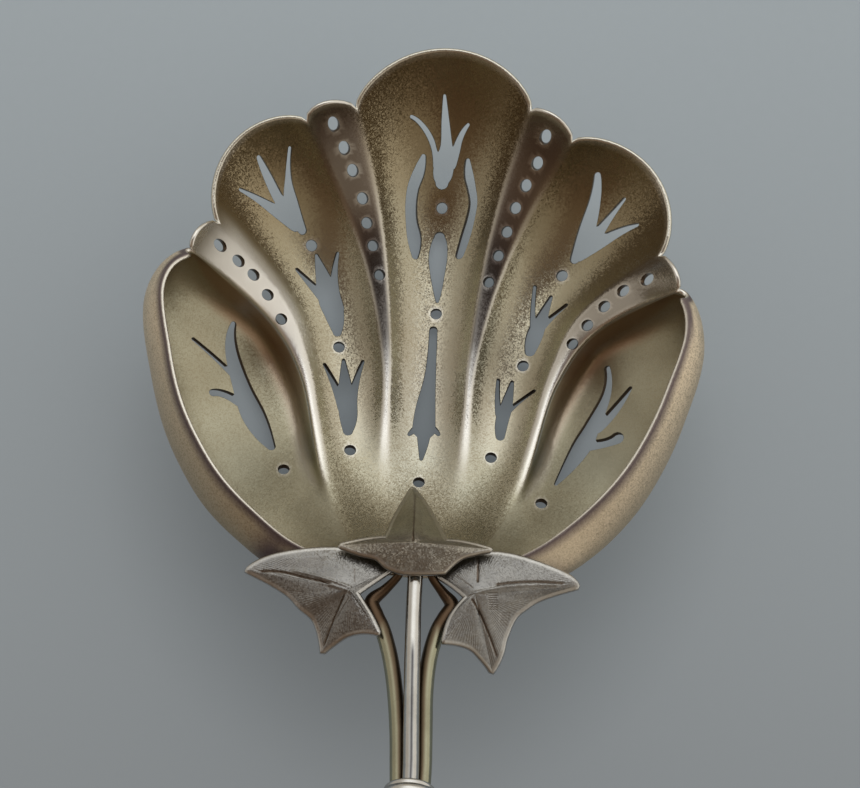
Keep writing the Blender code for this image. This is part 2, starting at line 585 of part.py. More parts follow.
def main():
    clear_scene()
    parts = new_collection("sugar_sifter_ladle")
    piercings = new_collection("piercings", cutters=True)
    slabs = new_collection("slabs", cutters=True)
    gilt = new_material("frosted_gilt", (0.72, 0.60, 0.36), 0.4)
    cast = new_material("frosted_silver", (0.62, 0.60, 0.57), 0.45)
    polished = new_material("polished_silver", (0.80, 0.78, 0.74), 0.2)
    make_cutters(piercings)
    ground = make_ground(slabs)
    make_bowl(parts, gilt, piercings, ground)
    make_leaf("centre_leaf", CENTRE_LEAF_HUB, CENTRE_LEAF, parts, cast)
    make_leaf("left_leaf", LEFT_LEAF_HUB, LEFT_LEAF, parts, cast)
    make_leaf("right_leaf", RIGHT_LEAF_HUB, RIGHT_LEAF, parts, cast)
    make_wire("centre_stem", CENTRE_RUN, CENTRE_ANGLE, parts, polished)
    make_wire("left_stem", LEFT_RUN, LEFT_ANGLE, parts, polished)
    make_wire("right_stem", RIGHT_RUN, RIGHT_ANGLE, parts, polished)
    make_turned("stem_collar", COLLAR_PROFILE, COLLAR_AT, parts, polished)
    make_turned("handle_end_cap", CAP_PROFILE, CAP_AT, parts, polished, ground)


main()
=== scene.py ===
"""Looks of the sugar sifter ladle: the pierced gilt bowl, the cast ivy leaves, the wire stems and the turned
rings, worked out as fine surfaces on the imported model.

Outlines are in millimetres on the bowl's own axes, x to the right, y from the heel to the far rim, z up from
the table, and `placed` takes them to metres in the model's frame.
"""

from collections import namedtuple

import bpy
import numpy as np
from mathutils import Matrix, Vector
from mathutils.geometry import delaunay_2d_cdt


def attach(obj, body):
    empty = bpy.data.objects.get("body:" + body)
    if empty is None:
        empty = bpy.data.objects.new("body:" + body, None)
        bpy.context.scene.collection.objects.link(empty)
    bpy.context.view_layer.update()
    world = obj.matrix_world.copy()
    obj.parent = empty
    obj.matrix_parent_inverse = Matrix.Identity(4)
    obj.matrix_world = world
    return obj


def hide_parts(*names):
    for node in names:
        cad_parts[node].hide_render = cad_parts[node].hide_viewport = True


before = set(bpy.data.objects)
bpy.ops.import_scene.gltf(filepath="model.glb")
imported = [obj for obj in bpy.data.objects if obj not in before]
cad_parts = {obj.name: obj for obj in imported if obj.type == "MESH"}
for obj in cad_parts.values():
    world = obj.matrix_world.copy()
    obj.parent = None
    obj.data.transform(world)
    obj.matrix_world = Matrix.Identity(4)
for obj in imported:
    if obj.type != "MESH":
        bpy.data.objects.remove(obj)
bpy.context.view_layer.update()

bl_info = {
    "name": "Sugar Sifter Ladle",
    "version": (1, 0, 0),
    "blender": (4, 5, 0),
    "location": "View3D > Sidebar > Ladle",
    "description": "Builds a pierced sugar sifter ladle with ivy leaves and a twisted wire handle",
    "category": "Add Mesh",
}

MM = 0.001
# Points handled at one time when distances are worked out.
SLICE = 2000
BODY = "root"
# The model's frame has its origin under the middle of the ladle's box.
SHIFT = np.array([0.65, 30.75, -0.05])

# Plan ellipse and heights of the bowl that the ribs' crests lie on.
HALF_WIDTH = 27.0
HALF_LENGTH = 28.0
FLOOR = 3.3
RIM = 14.5
WALL_POWER = 4.0

# Plan places of the ribs' edges, at even steps from the heel: those of the mid rib, then of the low rib,
# inner edge first, alike on both sides, and then the last place of each, at the rim, on the left and on the
# right.
RIB_EDGES = [
    [(1.3, 0.0), (3.65, 13.0), (4.3, 27.0), (6.0, 41.0)],
    [(2.4, 0.0), (4.45, 13.0), (5.2, 27.0), (8.7, 39.8)],
    [(3.9, 0.2), (9.8, 12.2), (12.9, 24.6), (16.4, 32.2)],
    [(5.1, 0.3), (10.7, 11.9), (14.0, 23.8), (18.6, 30.2)],
]
LEFT_RIB_ENDS = [(9.3, 52.1), (14.8, 49.9), (23.5, 38.1), (25.6, 33.8)]
RIGHT_RIB_ENDS = [(9.3, 52.1), (14.8, 49.9), (24.2, 36.7), (26.3, 32.1)]
# The side rims, at even steps from the heel to the notch beside the low rib.
SIDE_RIM = 5
LEFT_SIDE_RIM = [
    (-7.5, 0.6, 14.8), (-12.7, 2.3, 14.8), (-17.0, 5.5, 14.8), (-20.5, 8.9, 14.8), (-23.2, 12.75, 14.8),
    (-25.4, 17.1, 14.8), (-26.95, 22.3, 14.8), (-28.2, 29.3, 14.8), (-25.9, 33.1, 13.6),
]
RIGHT_SIDE_RIM = [
    (7.5, 0.6, 14.5), (12.1, 3.0, 14.2), (15.7, 5.95, 13.9), (18.8, 9.2, 13.9), (21.3, 12.6, 13.9),
    (23.4, 16.6, 13.9), (25.1, 21.0, 13.9), (26.9, 27.2, 13.9), (26.1, 31.3, 13.7),
]

# Sectors from left to right: the guides on both sides, the turn of the arc across, in degrees, the growth
# of the lobe past the rim, and the columns of the fine grid.
Sector = namedtuple("Sector", "first last turn growth columns")
SECTORS = [
    Sector(-5, -4, 190.0, 0.0, 84),
    Sector(-4, -3, -12.0, 0.026, 18),
    Sector(-3, -2, 98.0, 0.037, 64),
    Sector(-2, -1, -12.0, 0.026, 18),
    Sector(-1, 1, 103.0, 0.058, 72),
    Sector(1, 2, -12.0, 0.020, 18),
    Sector(2, 3, 98.0, 0.040, 64),
    Sector(3, 4, -12.0, 0.020, 18),
    Sector(4, 5, 194.0, 0.0, 84),
]
# Section of a wing at even steps from the low rib to the side rim: the share of the way across, the shares
# of the rib's and of the rim's height above the wing's floor, and the share of the overhang past the rim.
WING_SECTION = [
    (0.0, 1.0, 0.0, 0.0), (0.04, 0.62, 0.0, 0.0), (0.09, 0.22, 0.01, 0.0), (0.18, 0.03, 0.045, 0.0),
    (0.34, 0.0, 0.11, 0.0), (0.52, 0.0, 0.19, 0.0), (0.71, 0.0, 0.275, 0.1), (0.88, 0.0, 0.38, 0.5),
    (0.97, 0.0, 0.55, 0.95), (1.0, 0.0, 0.78, 0.9), (1.0, 0.0, 1.0, 0.0),
]
LEFT_OVERHANG = 2.5
RIGHT_OVERHANG = 3.1
# The floor lies at one height, but no deeper below the rib than shares of the wing's width from heel to
# notch. The overhang is limited by the width too.
WING_FLOOR = -0.95
LEFT_DROPS = [0.06, 0.1, 0.24, 0.324, 0.32, 0.5]
RIGHT_DROPS = [0.06, 0.1, 0.25, 0.337, 0.33, 0.5]
WING_BLEND = 1.0
WING_HANG = 1.2
# The wings and the arcs across begin nearly flat at the heel, and are full from these shares of the length.
# The wings' drawn section gives way to an arc towards the notch.
WING_AT_HEEL = 0.15
WING_FULL_FROM = 0.1
WING_DRAWN_TO = 0.7
HANG_FULL_FROM = 0.1
FLUTES_FROM = 0.08
FLUTES_FULL_FROM = 0.42
LEAST_TURN = 0.02
LEAST_STEP = 1e-9
LOBE_POWER = 0.6
# Darkening of the ribs, by their first guide, and of the flutes: where along the length it begins and is
# full, and how strong it is there. On the ribs it is a painted reflection of the dark surroundings, and on
# the flutes it is brown patina with painted shade and reflection. The shield between the lyre slots is
# darkened too.
RIB_REFLECTION_DARKENING = {-4: (0.9, 1.0, 0.15), -2: (0.46, 0.54, 0.95), 1: (0.46, 0.54, 0.95), 3: (0.5, 0.85, 0.45)}
FLUTE_PATINA_AND_SHADE = (0.62, 1.02, 0.75)
SHIELD = (0.4, 44.4)
SHIELD_SIZE = (2.2, 3.4)
SHIELD_TONE = 0.85
# Ribs lose their gilding, and ridges rise, between these shares of the length.
RIB_BARE = (0.2, 0.4)
RIDGE_RISES = (0.16, 0.34)
# Painted reflection: the mid ribs are painted darkest, as they reflect the dark sky overhead, over this part
# of their length, with these fades at its ends.
DARK_RIBS = (-2, 1)
DARK_FROM = 0.44
DARK_TO = 0.72
DARK_FADES = (0.04, 0.08)
# Painted highlight: the left low rib is painted pale between these shares of its length, less so at the rim,
# and spills over this much of the next flute.
PALE_RIB = -4
PALE_ALONG = (0.45, 0.7)
PALE_RIM = (1.03, 0.93)
PALE_SPILL = (0.16, 0.05)
# Shares of the way from a side rim to the low rib: the wing's fold is painted reddish brown, as painted shade
# and reflection with some patina, from the first to the second, along these shares of its length, and the
# side wall isn't softened past the next two.
FOLD_ACROSS = (0.7, 0.85)
FOLD_ALONG = (0.3, 0.55)
FIRM_ACROSS = (0.75, 0.35)
# The gilding is worn to a silvery wash in an oval above the heel.
SILVERED = (0.0, 19.0)
SILVERED_SIZE = (8.5, 17.0)
SILVERED_TONE = 0.75
# Painted shadow on the outer walls in the corners above the side leaves, where the wall meets the leaf:
# place, reach and strength.
CORNERS = [(-15.2, 1.3, 2.1, 1.0), (14.4, 0.0, 1.8, 0.6)]
# Patches of painted shade that dull the gilding: place, reach and strength.
SHADE_SPOTS = [
    (18.3, 15.3, 6.0, 0.8), (7.8, 27.0, 4.0, 0.75), (-7.8, 29.5, 4.0, 0.4), (6.8, 11.5, 4.0, 0.4),
    (8.0, 7.2, 4.5, 0.65), (-18.8, 12.8, 5.5, 0.6), (-9.6, 7.7, 5.0, 0.5), (14.9, 8.7, 5.0, 0.55),
]
# How far along its length each guide ends at the rim's notches.
NOTCHES = {
    -5: 0.995, -4: 0.995, -3: 0.985, -2: 0.990, -1: 0.989, 1: 1.003, 2: 0.976, 3: 0.988, 4: 0.985, 5: 0.985,
}
RUN_PAST = 1.07
# Step along a guide, and along the handle, for its direction.
GUIDE_STEP = 2e-3
SHAFT_STEP = 1e-3
# Rounding of the ridges, broad at the heel and crisp at the rim: share of the length, spread in grid columns.
ROUNDING = [(0.10, 26.0), (0.24, 12.0), (0.40, 4.5), (0.80, 1.6)]
FINE_ROWS = 241
# Blur of the masks between ribs and flutes, in grid columns.
EDGE_BLUR = 1.6
# Every second column and row of the fine grid becomes a vertex of the sheet.
SHEET_STEP = 2
# The triangulation keeps what lies inside the outlines, and merges places closer than this.
KEEP_INSIDE = 1
MERGE_GAP = 1e-6
# The grid's even measures are taken along this share of its rows, and are so long from heel to rim.
MEASURED_ROW = 0.7
MEASURED_LENGTH = 62.0
# Search for a place on the grid: spacing of the first guesses, the least upward lean of their normals, the
# steps and the most that one goes.
GUESS_STEP = 4
GUESS_LEVEL = 0.25
SEARCH_STEPS = 12
SEARCH_MOST = 4
# Walls between the faces: how many rows, how near the grid's border a wall counts as rim, and the shape of
# a sawn wall's bulge and of its normals.
WALL_ROWS = 5
RIM_NEAR = 1e-3
SAWN_POWER = 0.5
SAWN_LEAN = 0.4
SAWN_LEAN_POWER = 3
# Masks on the bowl in millimetres from the edges: painted shade under the side rims, the bright rim's band
# and what a wing adds to its start and its end, and the burr round a drilled hole. The painted shade starts
# on the rim's under half.
BROW_FADE = (0.75, 0.25)
RIM_BAND = 0.35
WING_RIM_ADDS = (0.05, 0.1)
BURR_FADE = (0.03, 0.16)
RIM_UNDER = (0.5, 0.85)

# Round holes, drilled.
HOLE = 1.15
HOLE_SIDES = 28
HOLES = [
    (-11.7, 50.0), (-10.5, 48.2), (-9.5, 46.3), (-8.3, 43.7), (-7.7, 41.2), (-6.9, 38.8), (-6.0, 35.6),
    (11.3, 49.9), (10.6, 47.7), (9.5, 45.7), (8.5, 43.5), (7.7, 41.0), (6.9, 38.4), (6.0, 35.4),
    (-23.0, 35.6), (-21.1, 34.7), (-19.5, 33.7), (-17.9, 31.9), (-16.3, 29.5),
    (22.9, 34.4), (20.5, 33.8), (18.6, 32.4), (16.9, 30.5), (15.4, 28.5),
    (0.4, 44.3), (0.4, 32.2), (-0.4, 12.3),
    (-13.7, 38.8), (-10.0, 27.6), (-8.0, 15.6),
    (14.0, 36.9), (10.2, 26.5), (7.2, 15.6),
    (-15.0, 13.0), (12.8, 10.3),
]

# Sawn strokes as places along a middle line with the stroke's width there: x, y, width.
STROKES = {
    "centre_tulip_body": [
        (0.25, 47.0, 1.4), (0.3, 47.9, 2.1), (0.45, 49.2, 2.0), (0.55, 50.3, 1.4), (0.5, 51.2, 1.1),
        (0.3, 52.9, 0.8), (0.1, 55.0, 0.3),
    ],
    "centre_tulip_left": [
        (-0.3, 48.7, 1.0), (-0.7, 50.0, 0.55), (-1.1, 51.0, 0.55), (-1.75, 51.9, 0.5), (-2.6, 52.6, 0.4),
        (-3.4, 52.9, 0.3),
    ],
    "centre_tulip_right": [
        (1.2, 48.8, 1.0), (1.6, 50.1, 0.85), (1.9, 51.1, 0.65), (2.3, 51.9, 0.5), (2.8, 52.5, 0.3),
    ],
    "lyre_left": [
        (-1.9, 49.4, 0.5), (-2.3, 47.9, 1.15), (-2.85, 46.2, 1.2), (-3.0, 44.4, 1.2), (-2.85, 42.6, 1.25),
        (-2.45, 40.7, 1.5), (-2.25, 38.7, 0.7),
    ],
    "lyre_right": [
        (2.95, 49.1, 0.5), (3.15, 47.7, 0.95), (3.5, 46.4, 0.9), (3.8, 44.8, 0.85), (3.6, 43.1, 0.9),
        (3.15, 41.1, 1.0), (2.6, 39.0, 0.8),
    ],
    "bud": [
        (0.3, 41.1, 1.1), (0.3, 40.1, 1.75), (0.25, 38.6, 1.95), (0.3, 36.8, 1.5), (0.4, 35.0, 0.9),
        (0.45, 33.7, 0.3),
    ],
    "spear_shaft": [(0.2, 30.3, 0.8), (0.15, 25.2, 1.1), (-0.15, 21.4, 2.0), (-0.2, 18.8, 2.4)],
    "spear_point": [(-0.2, 19.4, 1.7), (-0.2, 17.2, 1.1), (-0.3, 15.2, 0.3)],
    "spear_barbs": [
        (-1.75, 18.0, 0.3), (-1.0, 18.8, 0.7), (-0.2, 19.2, 0.9), (0.7, 18.9, 0.7), (1.4, 18.2, 0.3),
    ],
    "left_top_right": [(-16.4, 47.6, 0.3), (-16.5, 45.2, 0.6), (-16.1, 42.9, 1.4), (-14.8, 40.3, 0.9)],
    "left_top_middle": [(-19.6, 46.2, 0.5), (-18.6, 44.7, 0.95), (-17.3, 42.8, 1.1), (-15.9, 41.3, 1.0)],
    "left_top_left": [(-21.4, 42.7, 0.3), (-19.6, 42.4, 0.7), (-17.6, 41.7, 1.2), (-15.6, 40.7, 1.3)],
    "left_mid_body": [(-10.3, 29.3, 0.9), (-10.7, 31.2, 2.0), (-11.5, 33.4, 2.3), (-13.1, 37.8, 0.3)],
    "left_mid_right": [(-10.4, 32.0, 1.3), (-11.0, 35.0, 0.8), (-10.8, 38.1, 0.3)],
    "left_mid_left": [(-11.8, 32.9, 1.2), (-13.3, 34.3, 0.8), (-15.1, 35.9, 0.3)],
    "left_low_body": [(-8.4, 17.9, 1.0), (-8.5, 20.0, 1.9), (-8.9, 22.3, 1.6), (-9.4, 26.1, 0.3)],
    "left_low_left": [(-9.0, 20.6, 1.3), (-10.1, 23.0, 0.75), (-11.4, 25.3, 0.3)],
    "left_low_right": [(-8.2, 20.6, 1.2), (-8.0, 23.2, 0.75), (-7.3, 26.0, 0.3)],
    "left_wing_slot": [(-21.6, 29.2, 0.5), (-21.6, 26.4, 1.3), (-20.3, 22.6, 1.9), (-18.6, 19.0, 2.5),
                       (-16.6, 15.8, 0.9)],
    "left_wing_barb": [(-20.9, 23.3, 0.6), (-23.4, 25.1, 0.4), (-25.6, 26.5, 0.3)],
    "left_wing_hook": [(-20.4, 20.6, 1.0), (-22.0, 21.2, 0.8), (-23.2, 21.1, 0.7)],
    "right_top_left": [(17.2, 46.5, 0.7), (17.1, 44.4, 1.2), (16.4, 41.6, 1.7), (15.3, 38.7, 1.0)],
    "right_top_middle": [(20.2, 44.1, 0.3), (18.8, 42.6, 0.7), (17.3, 40.8, 1.3), (15.9, 39.3, 1.2)],
    "right_top_right": [(21.7, 41.2, 0.3), (19.8, 40.9, 0.9), (17.8, 40.1, 1.3), (15.8, 38.9, 1.0)],
    "right_mid_body": [(10.9, 28.2, 1.1), (11.3, 30.0, 1.7), (11.9, 31.8, 1.3), (12.9, 34.5, 0.3)],
    "right_mid_left": [(11.1, 31.0, 0.6), (11.0, 33.2, 0.4), (11.1, 35.6, 0.3)],
    "right_mid_right": [(12.0, 31.0, 0.9), (13.2, 32.2, 0.5), (14.6, 33.4, 0.3)],
    "right_low_body": [(8.1, 18.2, 0.9), (8.2, 20.0, 1.3), (8.6, 21.8, 1.2), (9.1, 24.6, 0.3)],
    "right_low_left": [(7.8, 20.8, 0.6), (7.6, 22.8, 0.45), (7.6, 24.7, 0.3)],
    "right_low_right": [(8.7, 21.1, 0.6), (10.1, 22.4, 0.35), (11.5, 23.4, 0.3)],
    "right_wing_slot": [(19.4, 26.8, 0.5), (19.4, 23.9, 0.95), (18.1, 20.4, 1.6), (16.8, 17.4, 2.0),
                        (14.3, 12.9, 0.3)],
    "right_wing_barb": [(18.6, 19.7, 0.9), (20.3, 21.8, 0.95), (21.9, 24.1, 0.3)],
    "right_wing_hook": [(17.6, 17.8, 1.3), (19.4, 18.0, 1.0), (20.7, 18.5, 1.3)],
}
STROKE_STEPS = 26
STROKE_END_STEPS = 5

# Ivy leaves: runs of the upper face's outline from corner to corner as x, y, z, and the hub of the veins.
CENTRE_LEAF_HUB = (-0.2, 2.4, 17.8)
CENTRE_LEAF = [
    [(-1.0, 10.9, 6.5), (-2.0, 8.2, 9.0), (-2.6, 6.1, 11.5), (-2.9, 4.5, 13.8), (-3.2, 3.2, 15.7)],
    [(-3.2, 3.2, 15.7), (-5.2, 2.7, 16.6), (-7.8, 1.9, 17.0)],
    [(-7.8, 1.9, 17.0), (-5.8, 1.2, 17.3), (-4.0, 0.8, 17.4), (-2.8, -0.1, 17.4), (-1.1, -0.6, 17.5)],
    [(-1.1, -0.6, 17.5), (1.2, -0.5, 17.5), (2.9, -0.3, 17.4)],
    [(2.9, -0.3, 17.4), (4.4, 1.2, 17.4), (5.8, 1.8, 17.3), (7.5, 2.3, 17.0)],
    [(7.5, 2.3, 17.0), (4.9, 2.9, 16.6), (2.9, 3.2, 15.7)],
    [(2.9, 3.2, 15.7), (2.4, 4.4, 13.8), (1.6, 6.3, 11.5), (0.5, 8.6, 9.0), (-1.0, 10.9, 6.5)],
]
LEFT_LEAF_HUB = (-6.7, -2.7, 17.3)
LEFT_LEAF = [
    [(-17.3, -0.8, 15.2), (-13.3, -2.8, 15.5), (-11.5, -4.4, 15.6), (-9.9, -5.8, 15.4), (-9.0, -8.8, 14.9)],
    [(-9.0, -8.8, 14.9), (-7.9, -7.9, 15.4), (-6.6, -7.1, 16.1), (-5.0, -6.8, 16.8), (-3.4, -7.0, 17.2)],
    [(-3.4, -7.0, 17.2), (-4.2, -5.5, 17.2), (-5.0, -4.3, 17.2), (-5.9, -3.0, 17.2)],
    [(-5.9, -3.0, 17.2), (-4.5, -1.7, 16.5), (-2.6, -0.1, 15.9)],
    [(-2.6, -0.1, 15.9), (-4.8, 1.2, 15.9), (-7.8, 1.7, 15.9), (-11.5, 1.4, 15.8), (-15.0, 0.6, 15.5),
     (-17.3, -0.8, 15.2)],
]
RIGHT_LEAF_HUB = (6.2, -2.5, 17.3)
RIGHT_LEAF = [
    [(16.6, -0.7, 15.2), (15.1, 0.5, 15.5), (10.8, 1.8, 15.8), (7.5, 2.1, 15.9), (4.0, 1.2, 15.9),
     (2.4, -0.5, 15.9)],
    [(2.4, -0.5, 15.9), (3.9, -1.5, 16.5), (5.4, -2.8, 17.2)],
    [(5.4, -2.8, 17.2), (4.3, -4.3, 17.2), (3.7, -5.6, 17.2), (3.3, -7.5, 17.2)],
    [(3.3, -7.5, 17.2), (5.8, -7.7, 16.3), (7.2, -8.7, 15.6), (8.3, -9.9, 14.9)],
    [(8.3, -9.9, 14.9), (9.1, -8.2, 15.2), (9.5, -6.3, 15.4), (10.3, -4.3, 15.6), (11.4, -3.2, 15.6),
     (13.0, -2.1, 15.5), (16.6, -0.7, 15.2)],
]
# Engraving, as depth and half width of each kind of line, in millimetres. A ridge stands up.
VEIN = (0.14, 0.10)
RIDGE = (-0.11, 0.17)
TICK = (0.05, 0.06)
# Plan places along each line of a leaf.
CENTRE_LINES = [
    (VEIN, [(-0.65, 9.8), (-0.5, 6.3), (-0.4, 2.7)]),
]
LEFT_LINES = [
    (VEIN, [(-15.8, -0.95), (-13.6, -1.0), (-11.4, -1.5), (-8.65, -2.1)]),
    (RIDGE, [(-8.7, -2.2), (-6.1, -3.0)]),
    (RIDGE, [(-12.4, -0.85), (-9.7, -1.45), (-6.5, -2.5)]),
    (VEIN, [(-7.1, -3.3), (-8.1, -5.8), (-8.9, -8.2)]),
    (TICK, [(-6.6, -3.6), (-8.0, -5.9)]),
    (TICK, [(-6.2, -0.3), (-6.1, -1.8)]),
]
RIGHT_LINES = [
    (RIDGE, [(5.6, -2.6), (7.6, -1.9), (10.1, -1.3), (14.4, -0.75)]),
    (VEIN, [(8.4, -1.3), (11.7, -0.7), (15.1, -0.55)]),
    (VEIN, [(5.9, -3.1), (7.1, -4.95), (8.7, -8.4)]),
    (VEIN, [(6.3, 1.6), (6.4, -1.1)]),
    (TICK, [(4.2, -0.5), (5.9, -1.8)]),
]
# Rows of short ticks: the first one's ends, the last one's ends, and how many.
CENTRE_HATCH = [
    ((-0.65, 9.0), (-1.2, 8.7), (-0.5, 4.2), (-1.3, 3.8), 20),
    ((-0.55, 9.0), (0.0, 8.7), (-0.4, 4.2), (0.5, 3.8), 20),
]
LEFT_HATCH = [((-14.0, -0.4), (-13.7, 0.3), (-9.6, -0.5), (-9.4, 0.9), 18)]
RIGHT_HATCH = [
    ((7.6, -2.3), (8.4, -2.2), (7.7, -3.9), (8.5, -3.8), 8),
    ((8.9, -4.1), (9.8, -4.0), (8.9, -5.3), (9.7, -5.2), 6),
]
LEAVES = [
    ("centre_leaf", CENTRE_LEAF_HUB, CENTRE_LEAF, CENTRE_LINES, CENTRE_HATCH),
    ("left_leaf", LEFT_LEAF_HUB, LEFT_LEAF, LEFT_LINES, LEFT_HATCH),
    ("right_leaf", RIGHT_LEAF_HUB, RIGHT_LEAF, RIGHT_LINES, RIGHT_HATCH),
]
LINE_STEPS = 60
HATCH_STEP = 3
# The leaf that folds over the heel is gilt like the bowl, and its fold is rounded by this added power.
FOLDED_LEAF = "centre_leaf"
FOLD_ROUND = 0.4
# Its tip, inside the bowl, is gilded from here on, and it is chased less.
TIP_FROM = 3.0
TIP_BLEND = 1.2
FOLD_SMOOTHS = 0.7
# Its creases are spread over so many places of the outline, between these shares of the way out.
CREASE_SPREAD = 22.0
CREASE_EASED = (1.0, 0.5)
# Shares of the way from the hub to the outline where engraving ends, chasing begins and the edge is bright.
ENGRAVED_TO = (0.9, 1.0)
CHASED_FROM = (0.15, 0.5)
EDGE_FROM = 0.955
# Pitch of the chased rays along the outline, in millimetres.
RAY_PITCH = 0.32
RUN_STEPS = 100
LEAF_ROWS = 60
UNDER_STEP = 6
EDGE_ROWS = 8

# The handle's middle line from the collar to the cap, and the three wires round it.
LAY_RADIUS = 1.15
LAY_LENGTH = 24.0
SHAFT = [
    (0.75, -25.8, 22.2), (0.75, -40.5, 26.1), (0.75, -55.5, 27.2), (0.75, -70.5, 25.3), (0.75, -86.0, 20.2),
    (0.75, -101.0, 12.6), (0.75, -112.5, 5.7),
]
SHAFT_STEPS = 261
FREE_STEPS = 80
WIRE_SIDES = 40
WIRE_DOME = 0.3
CENTRE_WIRE = "centre_stem"
# Painted shade: along y, a side wire is painted brown all round from the heel through the first fade, near
# the leaves, and on its inner side through the second.
BROWN_FADE = (-8.0, -5.5)
INNER_FADE = (-32.0, -24.0)
INNER_SIDE = (-0.4, 0.2)
INNER_TONE = 0.88
# The centre wire is painted brown below, as shade. A dark line, a painted reflection, runs along its top: its
# width and strength, as shares of the radius and of full tone, and how far from the heel it begins.
UNDER_SIDE = (0.3, 0.8)
LINE_WIDTH = 0.15
LINE_TONE = 1.6
LINE_FADE = (7.5, 9.5)
# Free run of each wire from the heel to the collar: x, y, z, and its share of the full thickness.
CENTRE_RUN = [
    (0.0, 1.0, 15.6, 1.0), (0.0, -1.2, 15.65, 1.0), (0.05, -5.4, 16.4, 1.0), (0.3, -11.9, 18.4, 1.0),
    (0.55, -17.4, 20.5, 1.0), (0.75, -21.6, 22.0, 1.0),
]
LEFT_RUN = [
    (-1.55, 0.5, 15.8, 0.45), (-1.7, -0.6, 15.65, 0.5), (-3.0, -2.0, 14.95, 0.65), (-4.3, -3.3, 14.8, 0.95),
    (-3.8, -4.8, 15.1, 1.0), (-3.0, -6.4, 15.5, 1.0), (-2.1, -9.2, 16.2, 1.0), (-1.4, -12.7, 17.3, 1.0),
    (-0.85, -17.2, 19.0, 1.0), (-0.55, -21.6, 20.45, 1.0),
]
RIGHT_RUN = [
    (1.55, 0.5, 15.8, 0.45), (1.65, -0.6, 15.65, 0.45), (2.9, -2.0, 14.95, 0.65), (3.9, -3.3, 14.8, 0.95),
    (3.2, -4.8, 15.1, 1.0), (2.5, -6.4, 15.5, 1.0), (1.9, -9.2, 16.2, 1.0), (1.7, -12.7, 17.3, 1.0),
    (1.85, -17.2, 19.0, 1.0), (1.98, -21.6, 20.45, 1.0),
]
# Each wire with the angle where it lies round the middle line at the collar, in degrees from the right.
WIRES = [("centre_stem", CENTRE_RUN, 90.0), ("left_stem", LEFT_RUN, 210.0), ("right_stem", RIGHT_RUN, 330.0)]

# Turned profiles as radius and place along the handle, listed from the bowl's side.
TURN_STEPS = 72
COLLAR_PROFILE = [
    (2.25, 2.6), (2.45, 2.6), (2.6, 2.45), (2.62, 2.2), (2.5, 2.05), (2.85, 1.9), (3.05, 1.6), (3.1, 1.3),
    (3.05, 1.0), (2.85, 0.7), (2.5, 0.55), (2.62, 0.4), (2.6, 0.15), (2.45, 0.0), (2.25, 0.0),
]
CAP_PROFILE = [
    (2.2, 2.2), (2.7, 2.2), (2.95, 1.9), (3.1, 1.5), (2.95, 1.1), (2.7, 0.7), (2.85, 0.0), (3.2, -1.4),
    (3.45, -2.9), (3.5, -4.0), (3.3, -5.8), (2.9, -7.0), (2.4, -7.8), (1.8, -8.5), (1.1, -9.0), (0.0, -9.3),
]
CAP_HOLLOW = -3.3

# Bands of the dome by their tilt from straight above towards the bowl's far end, in degrees, with their
# colours.
SKY_BANDS = [
    (-100, (0.10, 0.066, 0.044)), (-70, (0.10, 0.066, 0.044)), (-45, (0.16, 0.115, 0.08)),
    (-15, (0.14, 0.10, 0.075)), (14, (0.10, 0.08, 0.075)), (18.5, (1.0, 1.0, 1.0)), (50, (1.0, 1.0, 0.97)),
    (68, (0.40, 0.365, 0.31)), (110, (0.22, 0.18, 0.13)),
]
# Soft patches laid over the bands: axis, where the product with it begins and is full, and colour.
SKY_PATCHES = [
    ((0.5, -0.55, 0.67), 0.78, 0.97, (0.30, 0.26, 0.21)),
    ((0.94, 0.22, 0.26), 0.5, 0.95, (0.66, 0.63, 0.58)),
    ((-0.92, 0.3, 0.26), 0.5, 0.95, (0.40, 0.37, 0.33)),
]
SKY_STRENGTH = 1.5
# The paper in metres: its half side, where the bowl's painted shadow lies on it, and where along y painted
# shade darkens it. Then the shades, as shares of its colour and as blends, its tooth and its glow.
PAPER_HALF = 1.5
UNDER_BOWL = (0.0, 0.043, 0.0)
UNDER_REACH = 0.034
UNDER_TONE = 0.95
NEARER = (0.115, -0.015)
NEARER_SHADE = (0.64, 0.61, 0.60)
DARK_SHADE = 0.5
TOOTH_SCALE = 900.0
TOOTH_DETAIL = 3.0
TOOTH_TONE = 0.06
PAPER_GLOW = 0.45
PAPER_ROUGH = 0.9
PAPER_SHINE = 0.1
# Frosting of each metal: grains and clouds per metre. Then how the grains run together, and the spans of
# their random numbers that make flecks and clouds.
GILT_GRAIN = (8500.0, 160.0)
CAST_GRAIN = (7000.0, 420.0)
WIRE_GRAIN = (2500.0, 300.0)
GRAIN_SMOOTH = 0.35
FLECK_SPAN = (0.45, 0.85)
CLOUD_SPAN = (0.3, 0.7)
CLOUD_DETAIL = 4.0
# Gilding. A pair of strengths is for a mask at 0 and at 1, and a span says where a mask begins and is full.
GILT_TILT = 0.2
GILT_MOTTLE = 0.35
RIM_WORN = (0.45, 1.0)
RIDGE_SPAN = (0.2, 0.9)
RIDGE_WORN = (0.55, 0.1)
BURR_WORN = 0.35
RIB_SMOOTH = 0.7
WORN_SMOOTH = 0.6
WING_SMOOTH = (0.45, 0.0)
# The hollows are painted bare silver near the heel, and reddish brown near the rim as painted shade with some
# patina.
HOLLOW_SPAN = (-0.12, -0.5)
RIMWARD_SPAN = (0.044, 0.058)
HOLLOW_BARE = (0.5, 0.0)
HOLLOW_RED = (0.1, 0.7)
# Strength of the mid ribs' painted reflection, then of the ribs' colour over the gilt.
DARK_TONE = 0.95
RIB_TONE = 0.85
